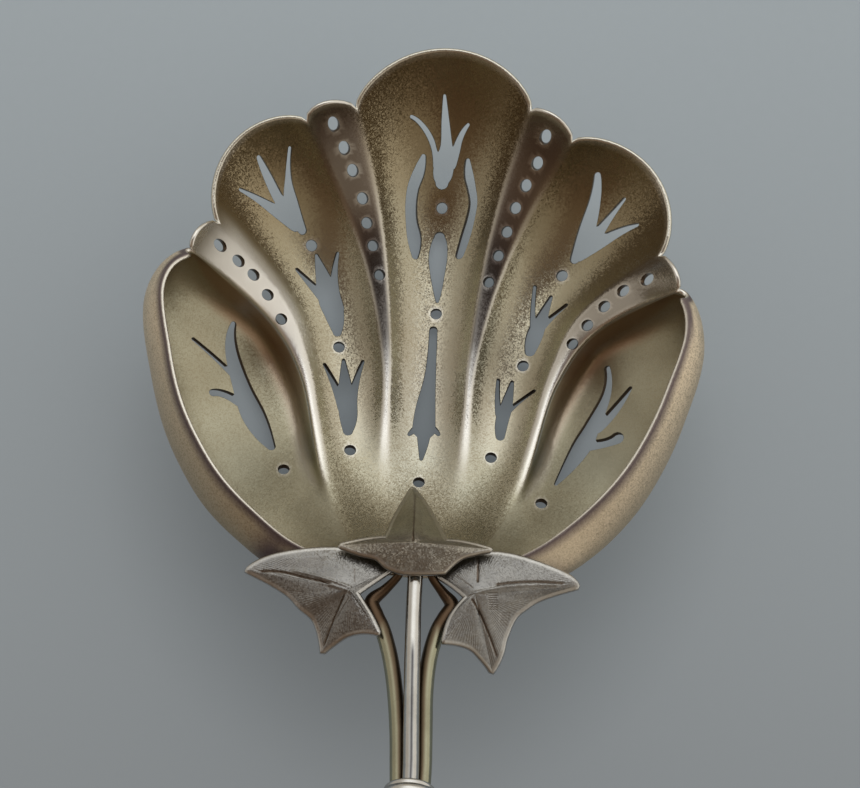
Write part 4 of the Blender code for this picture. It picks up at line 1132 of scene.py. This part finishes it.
def leaf_mesh(name, hub, runs, lines, hatches, settings):
    """A cast leaf on a polar grid round its hub: straight rays from hub to outline, raised a little between
    corners and engraved, then a half-round edge, then the under face back to the hub."""
    hub = np.asarray(hub)
    loop, share = outline_of(runs)
    if np.sum(np.cross(loop[:, :2] - hub[:2], np.roll(loop[:, :2], -1, 0) - hub[:2])) < 0:
        loop = np.roll(loop[::-1], 1, 0)
        share = np.roll(share[::-1], 1)
    size = len(loop)
    v = np.linspace(0, 1, LEAF_ROWS + 1)[1:, None]
    fold = float(name == FOLDED_LEAF)
    top = hub + (loop - hub)[None] * v[..., None]
    top[..., 2] = hub[2] + (loop[:, 2] - hub[2]) * v ** (1 + FOLD_ROUND * fold)
    top[..., 2] += settings.pillow / MM * (1 - fold) * np.sin(np.pi * share) * np.sin(np.pi * v)
    eased = spread_round(top[..., 2], CREASE_SPREAD)
    top[..., 2] += (eased - top[..., 2]) * fold * ramp(*CREASE_EASED, v)
    half = settings.thickness / MM / 2
    under = top[::-UNDER_STEP] - [0, 0, 2 * half]
    depth, dark = engraving(top[..., :2].reshape(-1, 2), lines, hatches)
    inside = 1 - ramp(*ENGRAVED_TO, v)
    top[..., 2] -= depth.reshape(LEAF_ROWS, size) * inside
    along = unit(np.roll(loop, -1, 0) - np.roll(loop, 1, 0))
    off = unit(np.cross(along, [0, 0, 1.0]))
    turn = (np.pi * np.arange(1, EDGE_ROWS) / EDGE_ROWS)[:, None, None]
    side = loop - [0, 0, half] + half * (np.cos(turn) * [0, 0, 1.0] + np.sin(turn) * off)
    body = np.concatenate([top, side, under])
    rings = len(body)
    points = np.concatenate([[hub], body.reshape(-1, 3), [hub - [0, 0, 2 * half]]])
    at = 1 + np.arange(rings * size).reshape(rings, size)
    quads, nxt = ring_quads(at)
    last = len(points) - 1
    cap = np.stack([np.zeros(size, int), at[0], nxt[0]], -1)
    base = np.stack([np.full(size, last), nxt[-1], at[-1]], -1)
    faces = quads.tolist() + cap.tolist() + base.tolist()
    steps = np.linalg.norm(np.diff(loop, axis=0, append=loop[:1]), axis=1)
    ray = np.cumsum(steps) * np.ones((rings, 1))
    blank = np.zeros((rings - LEAF_ROWS, size))
    chased = np.concatenate([ramp(*CHASED_FROM, v) * inside * np.ones(size), blank])
    edge = np.concatenate([ramp(EDGE_FROM, 1.0, v) * np.ones(size), blank])
    edge[LEAF_ROWS : LEAF_ROWS + EDGE_ROWS - 1] = 1
    attributes = {
        "edge": edge,
        "vein": np.concatenate([dark.reshape(LEAF_ROWS, size) * inside, blank]),
        "ray": ray,
        "chased": chased * (1 - FOLD_SMOOTHS * fold),
        "gilded": np.full((rings, size), fold),
        "tip": fold * ramp(TIP_FROM, TIP_FROM + TIP_BLEND, body[..., 1]),
    }
    attributes = {key: np.concatenate([[0], values.ravel(), [0]]) for key, values in attributes.items()}
    return make_mesh(f"cast_{name}", placed(points), faces, attributes)


def shaft_frame(t):
    """Middle line of the handle, with its direction and the direction that points up and square to it."""
    middle = spline(SHAFT, t)
    along = unit(spline(SHAFT, t + SHAFT_STEP) - spline(SHAFT, np.maximum(t - SHAFT_STEP, 0)))
    upward = np.cross(along, [-1.0, 0.0, 0.0])
    upward *= np.sign(upward[..., 2:])
    return middle, along, upward


def wire_path(run, start_angle):
    """A wire's free run from the heel, then its lay: a circle round the handle's middle line, turned once for
    each lay length travelled."""
    t = np.linspace(0, 1, SHAFT_STEPS)
    middle, _, upward = shaft_frame(t)
    travelled = np.concatenate([[0], np.cumsum(np.linalg.norm(np.diff(middle, axis=0), axis=1))])
    phase = np.radians(start_angle) + 2 * np.pi * travelled / LAY_LENGTH
    lay = middle + LAY_RADIUS * (
        np.cos(phase)[:, None] * np.array([1.0, 0.0, 0.0]) + np.sin(phase)[:, None] * upward)
    lay = np.concatenate([lay, np.ones((SHAFT_STEPS, 1))], 1)
    knots = np.concatenate([np.asarray(run), lay[:1]])
    free = spline(knots, np.linspace(0, 1, FREE_STEPS))[:-1]
    return np.concatenate([free, lay])


def wire_mesh(name, run, start_angle, settings):
    """A round section carried along the wire's path, closed by a low dome at each end."""
    path = wire_path(run, start_angle)
    radius = path[:, 3:] * settings.wire / MM / 2
    centre = path[:, :3]
    along = unit(np.gradient(centre, axis=0))
    aside = unit(np.cross(along, [0.0, 0.0, 1.0]))
    up = np.cross(aside, along)
    angle = np.linspace(0, 2 * np.pi, WIRE_SIDES, endpoint=False)
    ring = aside[:, None] * np.cos(angle)[None, :, None] + up[:, None] * np.sin(angle)[None, :, None]
    body = centre[:, None] + ring * radius[:, None]
    size = len(body)
    points = np.concatenate([
        body.reshape(-1, 3), [centre[0] - along[0] * radius[0] * WIRE_DOME],
        [centre[-1] + along[-1] * radius[-1] * WIRE_DOME]])
    at = np.arange(size * WIRE_SIDES).reshape(size, WIRE_SIDES)
    quads, nxt = ring_quads(at)
    tips = len(points) - np.array([2, 1])
    start = np.stack([np.full(WIRE_SIDES, tips[0]), at[0], nxt[0]], -1)
    end = np.stack([np.full(WIRE_SIDES, tips[1]), nxt[-1], at[-1]], -1)
    y = centre[:, 1:2]
    if name == CENTRE_WIRE:
        # Painted reflection as a dark line along the top, and painted shade below.
        bell = np.exp(-((ring[..., 0] / LINE_WIDTH) ** 2))
        tarnish_and_shade = ramp(*UNDER_SIDE, -ring[..., 2])
        lined = np.minimum(LINE_TONE * bell, 1) * (ring[..., 2] > 0) * ramp(*LINE_FADE, -y)
        washed = np.zeros(tarnish_and_shade.shape)
    else:
        # Painted shade near the leaves and on the inner side.
        inner = ring[..., 0] * -np.sign(centre[0, 0])
        tarnish_and_shade = np.maximum(ramp(*BROWN_FADE, y), INNER_TONE * ramp(*INNER_SIDE, inner) * ramp(*INNER_FADE, y))
        lined = np.zeros(tarnish_and_shade.shape)
        washed = np.ones(tarnish_and_shade.shape)
    attributes = {"tarnish_and_shade": tarnish_and_shade, "washed": washed, "lined": lined}
    attributes = {key: np.concatenate([values.ravel(), [0, 0]]) for key, values in attributes.items()}
    faces = quads.tolist() + start.tolist() + end.tolist()
    return make_mesh(f"wire_{name}", placed(points), faces, attributes)


def turned_mesh(name, profile, t, closed):
    """A profile turned about the handle's middle line at a share t of its length: radius round the axis,
    place along it. A closed profile is a ring, and an open one ends on the axis."""
    middle, along, upward = shaft_frame(np.array(t))
    sideways = np.cross(upward, -along)
    profile = np.asarray(profile, float)
    angle = np.linspace(0, 2 * np.pi, TURN_STEPS, endpoint=False)
    ring = np.cos(angle)[:, None] * sideways + np.sin(angle)[:, None] * upward
    body = middle + profile[:, None, 1:] * -along + profile[:, None, :1] * ring
    at = np.arange(len(profile) * TURN_STEPS).reshape(-1, TURN_STEPS)
    if closed:
        at = np.concatenate([at, at[:1]])
    quads, _ = ring_quads(at)
    points = body.reshape(-1, 3)
    points[:, 2] = np.maximum(points[:, 2], -SHIFT[2])
    return make_mesh(name, placed(points), quads.tolist())


def fill_inputs(tree, made, inputs):
    """Puts values or links on a node's inputs."""
    for key, value in inputs.items():
        if isinstance(value, bpy.types.NodeSocket):
            tree.links.new(value, made.inputs[key])
        else:
            made.inputs[key].default_value = value


def node(tree, kind, inputs=None, **settings):
    """A node with its settings, and with values or links on its inputs."""
    made = tree.nodes.new(kind)
    for key, value in settings.items():
        setattr(made, key, value)
    fill_inputs(tree, made, inputs or {})
    return made


def new_material(name):
    """A new material, its node tree, its shader and its object coordinates."""
    made = bpy.data.materials.new(name)
    made.use_nodes = True
    tree = made.node_tree
    shader = tree.nodes["Principled BSDF"]
    where = node(tree, "ShaderNodeTexCoord").outputs["Object"]
    return made, tree, shader, where


def frosting_group():
    """Frosting: a random tilt of the normal for each grain, some grains gone dark, and broad clouds of
    tone."""
    tree = bpy.data.node_groups.new("frosted_grain", "ShaderNodeTree")
    for name in ("Place", "Facing"):
        tree.interface.new_socket(name, in_out="INPUT", socket_type="NodeSocketVector")
    for name in ("Tilt", "Grains per Metre", "Clouds per Metre"):
        tree.interface.new_socket(name, in_out="INPUT", socket_type="NodeSocketFloat")
    tree.interface.new_socket("Normal", in_out="OUTPUT", socket_type="NodeSocketVector")
    for name in ("Fleck", "Cloud"):
        tree.interface.new_socket(name, in_out="OUTPUT", socket_type="NodeSocketFloat")
    start = node(tree, "NodeGroupInput").outputs
    end = node(tree, "NodeGroupOutput").inputs
    cells = node(tree, "ShaderNodeTexVoronoi", {
        "Vector": start["Place"], "Scale": start["Grains per Metre"], "Smoothness": GRAIN_SMOOTH},
        feature="SMOOTH_F1").outputs["Color"]
    lean = vector_maths(tree, "SUBTRACT", cells, (0.5, 0.5, 0.5))
    lean = node(tree, "ShaderNodeVectorMath", {0: lean, "Scale": start["Tilt"]}, operation="SCALE").outputs[0]
    turned = vector_maths(tree, "ADD", start["Facing"], lean)
    turned = node(tree, "ShaderNodeVectorMath", {0: turned}, operation="NORMALIZE").outputs[0]
    pick = node(tree, "ShaderNodeSeparateXYZ", {0: cells}).outputs["X"]
    cloud = node(tree, "ShaderNodeTexNoise", {
        "Vector": start["Place"], "Scale": start["Clouds per Metre"], "Detail": CLOUD_DETAIL})
    tree.links.new(turned, end["Normal"])
    tree.links.new(stretched(tree, pick, *FLECK_SPAN), end["Fleck"])
    tree.links.new(stretched(tree, cloud.outputs["Fac"], *CLOUD_SPAN), end["Cloud"])


def vector_maths(tree, operation, first, second):
    """Vector made of two vectors."""
    return node(tree, "ShaderNodeVectorMath", {0: first, 1: second}, operation=operation).outputs["Vector"]


def frosted_grain(tree, where, tilt, grains, clouds):
    """The frosting group placed in a material."""
    facing = node(tree, "ShaderNodeNewGeometry").outputs["Normal"]
    made = node(tree, "ShaderNodeGroup", node_tree=bpy.data.node_groups["frosted_grain"])
    fill_inputs(tree, made, {
        "Place": where, "Facing": facing, "Tilt": tilt, "Grains per Metre": grains,
        "Clouds per Metre": clouds})
    return made.outputs


def blend_colour(tree, factor, first, second):
    """Colour between two colours."""
    made = node(tree, "ShaderNodeMix", data_type="RGBA")
    fill_inputs(tree, made, {0: factor})
    for place, value in ((6, first), (7, second)):
        fill_inputs(tree, made, {place: value if isinstance(value, bpy.types.NodeSocket) else (*value, 1.0)})
    return made.outputs[2]


def blend_value(tree, factor, first, second):
    """Number between two numbers."""
    return node(tree, "ShaderNodeMix", {0: factor, 2: first, 3: second}, data_type="FLOAT").outputs[0]


def stretched(tree, value, low, high):
    """A value taken from low..high to 0..1."""
    return node(tree, "ShaderNodeMapRange", {"Value": value, "From Min": low, "From Max": high}).outputs[0]


def attribute(tree, name):
    """A mask that the piece carries on its vertices."""
    return node(tree, "ShaderNodeAttribute", attribute_name=name).outputs["Fac"]


def greater(tree, first, second):
    """The greater of two numbers."""
    return node(tree, "ShaderNodeMath", {0: first, 1: second}, operation="MAXIMUM").outputs[0]


def product(tree, first, second):
    """The product of two numbers."""
    return node(tree, "ShaderNodeMath", {0: first, 1: second}, operation="MULTIPLY").outputs[0]


def painted(tree, tone, mask, colour, strength=1.0):
    """A tone with a colour laid over it where the mask is, up to a strength."""
    if strength != 1.0:
        mask = blend_value(tree, mask, 0.0, strength)
    return blend_colour(tree, mask, tone, colour)


def finish_metal(tree, shader, base, rough, normal):
    """Links a metal's colour, roughness and normal to its shader."""
    shader.inputs["Metallic"].default_value = 1.0
    fill_inputs(tree, shader, {"Base Color": base, "Roughness": rough, "Normal": normal})


def frosted_gilt(colours):
    """Frosted gilding, mottled in random clouds, with patches of painted shade, browner towards the rim as
    patina with painted shade and reflection, and painted in the hollows: bare silver near the heel, reddish
    brown near the rim as painted shade with some patina. The sheet is bare silver on the ribs, with a painted
    reflection that darkens them towards the rim, a painted highlight on the left low rib, and bare silver on
    the rim; bright on the ridges and round the drilled holes; dark brown in the saw cuts, tarnish with
    painted shade; and on its back, painted shade lower down, towards the heel and under the side rims."""
    made, tree, shader, where = new_material("frosted_gilt")
    axes = node(tree, "ShaderNodeSeparateXYZ", {0: where}).outputs
    rib, rim, wing, dusk, crest, pale, outside = (
        attribute(tree, name) for name in ("rib", "rim", "wing", "dusk", "crest", "pale", "outside"))
    rim = product(tree, rim, blend_value(tree, wing, *RIM_WORN))
    bright = product(tree, stretched(tree, crest, *RIDGE_SPAN), blend_value(tree, dusk, *RIDGE_WORN))
    burr = blend_value(tree, attribute(tree, "burr"), 0.0, BURR_WORN)
    worn = greater(tree, greater(tree, rim, bright), burr)
    smooth = greater(tree, blend_value(tree, rib, 0.0, RIB_SMOOTH), blend_value(tree, worn, 0.0, WORN_SMOOTH))
    smooth = greater(tree, smooth, product(tree, wing, blend_value(tree, outside, *WING_SMOOTH)))
    grain = frosted_grain(tree, where, blend_value(tree, smooth, GILT_TILT, 0.0), *GILT_GRAIN)
    tone = painted(tree, colours.gilt, attribute(tree, "silvered"), colours.wash)
    tone = painted(tree, tone, grain["Cloud"], colours.gilt_deep, GILT_MOTTLE)
    tone = painted(tree, tone, grain["Fleck"], colours.gilt_deep, GILT_MOTTLE)
    # Painted shade in patches.
    tone = painted(tree, tone, attribute(tree, "shade_patches"), colours.patch_shade)
    # Browner towards the rim: patina with painted shade and reflection.
    tone = painted(tree, tone, dusk, colours.far)
    # Hollows and the wings' folds: bare silver near the heel, and reddish brown near the rim as painted shade
    # with some patina.
    hollow = greater(tree, attribute(tree, "fold"), stretched(tree, crest, *HOLLOW_SPAN))
    rimward = stretched(tree, axes["Y"], *RIMWARD_SPAN)
    for strengths, colour in ((HOLLOW_BARE, colours.bare), (HOLLOW_RED, colours.fold)):
        tone = painted(tree, tone, product(tree, hollow, blend_value(tree, rimward, *strengths)), colour)
    # The ribs' bare silver, with a painted reflection that darkens it towards the rim, most of all on the mid
    # ribs.
    rib_and_reflection = painted(tree, colours.ribs, dusk, colours.dusk)
    rib_and_reflection = painted(tree, rib_and_reflection, attribute(tree, "dark"), colours.navy, DARK_TONE)
    tone = painted(tree, tone, rib, rib_and_reflection, RIB_TONE)
    # Painted highlight on the left low rib.
    tone = painted(tree, tone, pale, colours.bare)
    back_and_shade = painted(tree, colours.back, grain["Fleck"], colours.gilt_deep, BACK_FLECK)
    # Painted shade on the back: darker lower down, and towards the heel and the left.
    back_and_shade = painted(tree, back_and_shade, stretched(tree, axes["Z"], *LOWER_SPAN), colours.gilt_deep, LOWER_TONE)
    leftward = blend_value(tree, stretched(tree, axes["X"], *LEFTWARD_SPAN), *HEEL_TONE)
    heelward = product(tree, stretched(tree, axes["Y"], *HEELWARD_SPAN), leftward)
    back_and_shade = painted(tree, back_and_shade, heelward, colours.gilt_deep)
    # Painted shade under the side rims.
    back_and_shade = painted(tree, back_and_shade, attribute(tree, "brow"), colours.brow, BROW_TONE)
    tone = painted(tree, tone, outside, back_and_shade)
    base = painted(tree, tone, worn, colours.bare)
    # The saw cuts' walls are painted dark brown: tarnish with painted shade.
    base = painted(tree, base, attribute(tree, "sawn"), colours.tarnish_and_shade)
    rough = blend_value(tree, wing, *GILT_ROUGH)
    for mask, value in ((rib, RIB_ROUGH), (pale, PALE_ROUGH), (outside, BACK_ROUGH), (worn, WORN_ROUGH)):
        rough = blend_value(tree, mask, rough, value)
    finish_metal(tree, shader, base, rough, grain["Normal"])
    return made


def frosted_silver(colours):
    """Cast silver with a fine grain and chased rays, tarnished brown in the veins and bright along the edges.
    The leaf that folds over the heel is gilt."""
    made, tree, shader, where = new_material("frosted_silver")
    edge = attribute(tree, "edge")
    grain = frosted_grain(tree, where, blend_value(tree, edge, *CAST_TILT), *CAST_GRAIN)
    rays = product(tree, attribute(tree, "ray"), 2 * np.pi / RAY_PITCH)
    waves = node(tree, "ShaderNodeMath", {0: rays}, operation="SINE").outputs[0]
    chased = node(tree, "ShaderNodeBump", {
        "Height": product(tree, waves, attribute(tree, "chased")), "Strength": CHASE_STRENGTH,
        "Distance": CHASE_DEPTH, "Normal": grain["Normal"]})
    tone = painted(tree, colours.cast, attribute(tree, "gilded"), colours.gilt_deep, GILDED_TONE)
    tone = painted(tree, tone, attribute(tree, "tip"), colours.gilt)
    tone = painted(tree, tone, grain["Cloud"], colours.navy, CAST_MOTTLE)
    tone = painted(tree, tone, grain["Fleck"], colours.navy, CAST_MOTTLE)
    tone = painted(tree, tone, attribute(tree, "vein"), colours.tarnish_and_shade)
    tone = painted(tree, tone, edge, colours.bare, EDGE_TONE)
    finish_metal(tree, shader, tone, blend_value(tree, edge, *CAST_ROUGH), chased.outputs["Normal"])
    return made


def polished_silver(colours):
    """Polished wire with faint clouds of tone, painted dark brown as shade, the centre wire underneath and
    the side wires near the leaves and on their inner sides, and a painted reflection, a dark line, along the
    centre wire's top."""
    made, tree, shader, where = new_material("polished_silver")
    grain = frosted_grain(tree, where, WIRE_TILT, *WIRE_GRAIN)
    tarnish_and_shade = attribute(tree, "tarnish_and_shade")
    tone = painted(tree, colours.polished, attribute(tree, "washed"), colours.washed)
    tone = painted(tree, tone, grain["Cloud"], colours.tarnish_and_shade, WIRE_MOTTLE)
    # Painted shade.
    tone = painted(tree, tone, tarnish_and_shade, colours.tarnish_and_shade)
    # Painted reflection along the centre wire's top.
    tone = painted(tree, tone, attribute(tree, "lined"), colours.navy)
    rough = blend_value(tree, tarnish_and_shade, blend_value(tree, grain["Fleck"], *WIRE_ROUGH), BROWN_ROUGH)
    finish_metal(tree, shader, tone, rough, grain["Normal"])
    return made


def paper(colour):
    """Pale paper with a faint tooth, with painted shade darker towards the handle and a painted shadow under
    the bowl, that also glows a little where it is seen directly or in the metal, so that its colour holds
    under the bowl."""
    made, tree, shader, where = new_material("paper")
    tooth = node(tree, "ShaderNodeTexNoise", {"Vector": where, "Scale": TOOTH_SCALE, "Detail": TOOTH_DETAIL})
    dark = tuple(DARK_SHADE * c for c in colour)
    shade = tuple(c * k for c, k in zip(colour, NEARER_SHADE))
    along = node(tree, "ShaderNodeSeparateXYZ", {0: where}).outputs["Y"]
    gap = node(tree, "ShaderNodeVectorMath", {0: where, 1: UNDER_BOWL}, operation="DISTANCE").outputs["Value"]
    tone = painted(tree, colour, tooth.outputs["Fac"], dark, TOOTH_TONE)
    # Painted shade darker towards the handle, and a painted shadow under the bowl.
    tone = painted(tree, tone, stretched(tree, along, *NEARER), shade)
    tone = painted(tree, tone, stretched(tree, gap, UNDER_REACH, 0.0), dark, UNDER_TONE)
    path = node(tree, "ShaderNodeLightPath").outputs
    seen = greater(tree, path["Is Camera Ray"], path["Is Glossy Ray"])
    seen = greater(tree, seen, path["Is Transmission Ray"])
    fill_inputs(tree, shader, {
        "Base Color": tone, "Emission Color": tone, "Emission Strength": product(tree, seen, PAPER_GLOW),
        "Roughness": PAPER_ROUGH, "Specular IOR Level": PAPER_SHINE})
    return made


class LADLE_OT_bowl(bpy.types.Operator):
    """Build the pierced scallop bowl"""

    bl_idname = "ladle.bowl"
    bl_label = "Pierced Bowl"

    def execute(self, context):
        bowl = bowl_mesh(context.scene.ladle_bowl)
        stand_for(bowl, "bowl", frosted_gilt(context.scene.ladle_finish))
        return {"FINISHED"}


class LADLE_OT_leaves(bpy.types.Operator):
    """Build the three cast ivy leaves"""

    bl_idname = "ladle.leaves"
    bl_label = "Ivy Leaves"

    def execute(self, context):
        material = frosted_silver(context.scene.ladle_finish)
        for name, hub, runs, lines, hatches in LEAVES:
            leaf = leaf_mesh(name, hub, runs, lines, hatches, context.scene.ladle_leaf)
            stand_for(leaf, name, material)
        return {"FINISHED"}


class LADLE_OT_handle(bpy.types.Operator):
    """Build the wire stems, the collar and the end cap"""

    bl_idname = "ladle.handle"
    bl_label = "Twisted Handle"

    def execute(self, context):
        material = polished_silver(context.scene.ladle_finish)
        for name, run, start_angle in WIRES:
            wire = wire_mesh(name, run, start_angle, context.scene.ladle_handle)
            stand_for(wire, name, material)
        collar = turned_mesh("turned_collar", COLLAR_PROFILE, 0.0, closed=True)
        stand_for(collar, "stem_collar", material)
        hollow = [(0.0, CAP_HOLLOW), (CAP_PROFILE[0][0], CAP_HOLLOW)]
        cap = turned_mesh("turned_end_cap", hollow + CAP_PROFILE, 1.0, closed=False)
        stand_for(cap, "handle_end_cap", material)
        return {"FINISHED"}


class LADLE_OT_stage(bpy.types.Operator):
    """Lay the paper, light it, and set the camera"""

    bl_idname = "ladle.stage"
    bl_label = "Stage"

    def execute(self, context):
        settings = context.scene.ladle_stage
        corners = PAPER_HALF * np.array([(-1, -1, 0), (1, -1, 0), (1, 1, 0), (-1, 1, 0)], float)
        floor = make_mesh("paper_floor", corners, [(0, 1, 2, 3)])
        floor.data.materials.append(paper(tuple(settings.floor)))
        light_sky(context.scene)
        add_camera(context.scene, settings)
        context.scene.view_settings.view_transform = "Standard"
        return {"FINISHED"}


def sky_patch(tree, direction, axis, low, high):
    """Share of a patch of sky: a smooth step of the direction's product with the patch's axis."""
    towards = node(tree, "ShaderNodeVectorMath", {0: direction, 1: axis}, operation="DOT_PRODUCT")
    return node(tree, "ShaderNodeMapRange", {
        "Value": towards.outputs["Value"], "From Min": low, "From Max": high},
        interpolation_type="SMOOTHSTEP").outputs["Result"]


def light_sky(scene):
    """A soft dome in bands by their tilt: a wide window beyond the bowl and above it, the dark camera
    overhead, and a dim warm room behind it. Soft patches lie over them, one behind on the right and one on
    each side."""
    world = bpy.data.worlds.new("soft_dome")
    scene.world = world
    world.use_nodes = True
    tree = world.node_tree
    direction = node(tree, "ShaderNodeTexCoord").outputs["Generated"]
    axes = node(tree, "ShaderNodeSeparateXYZ", {0: direction}).outputs
    tilt = node(tree, "ShaderNodeMath", {0: axes["Y"], 1: axes["Z"]}, operation="ARCTAN2").outputs[0]
    bands = node(tree, "ShaderNodeValToRGB", {"Fac": stretched(tree, tilt, -np.pi, np.pi)})
    stops = bands.color_ramp.elements
    while len(stops) < len(SKY_BANDS):
        stops.new(0.0)
    for stop, (degrees, shade) in zip(stops, SKY_BANDS):
        stop.position = (degrees + 180) / 360
        stop.color = (*shade, 1.0)
    colour = bands.outputs["Color"]
    for axis, low, high, shade in SKY_PATCHES:
        colour = painted(tree, colour, sky_patch(tree, direction, axis, low, high), shade)
    background = tree.nodes["Background"]
    fill_inputs(tree, background, {"Color": colour, "Strength": SKY_STRENGTH})


def add_camera(scene, settings):
    """A camera that looks at the target from its azimuth and elevation."""
    a = settings.azimuth
    e = settings.elevation
    back = Vector((np.sin(a) * np.cos(e), -np.cos(a) * np.cos(e), np.sin(e)))
    right = Vector((np.cos(a), np.sin(a), 0.0))
    up = back.cross(right)
    lens = bpy.data.cameras.new("camera")
    lens.sensor_width = SENSOR
    lens.lens = FOCAL_PIXELS * SENSOR / IMAGE_WIDTH
    lens.clip_start = CLIP_START
    camera = bpy.data.objects.new("camera", lens)
    scene.collection.objects.link(camera)
    turn = Matrix((right, up, back)).transposed().to_4x4()
    camera.matrix_world = Matrix.Translation(Vector(settings.target) + back * settings.distance) @ turn
    scene.camera = camera


class LADLE_PT_panel(bpy.types.Panel):
    """Lists the ladle's pieces in the sidebar"""

    bl_idname = "LADLE_PT_panel"
    bl_label = "Sugar Sifter Ladle"
    bl_space_type = "VIEW_3D"
    bl_region_type = "UI"
    bl_category = "Ladle"

    def draw(self, context):
        for operator in OPERATORS:
            self.layout.operator(operator.bl_idname)
        for name in GROUPS:
            group = getattr(context.scene, name)
            for key in group.__annotations__:
                self.layout.prop(group, key)


OPERATORS = (LADLE_OT_bowl, LADLE_OT_leaves, LADLE_OT_handle, LADLE_OT_stage)
GROUPS = {
    "ladle_bowl": BowlSettings, "ladle_leaf": LeafSettings, "ladle_handle": HandleSettings,
    "ladle_finish": FinishSettings, "ladle_stage": StageSettings,
}


def register():
    """Adds the settings, the operators and the panel to Blender."""
    for made in (*GROUPS.values(), *OPERATORS, LADLE_PT_panel):
        bpy.utils.register_class(made)
    for name, group in GROUPS.items():
        setattr(bpy.types.Scene, name, bpy.props.PointerProperty(type=group))


def unregister():
    """Takes them out again."""
    for name in GROUPS:
        delattr(bpy.types.Scene, name)
    for made in reversed((*GROUPS.values(), *OPERATORS, LADLE_PT_panel)):
        bpy.utils.unregister_class(made)


def main():
    """Builds the ladle piece by piece, then the stage."""
    register()
    frosting_group()
    bpy.ops.ladle.bowl()
    bpy.ops.ladle.leaves()
    bpy.ops.ladle.handle()
    bpy.ops.ladle.stage()


if __name__ == "__main__":
    main()
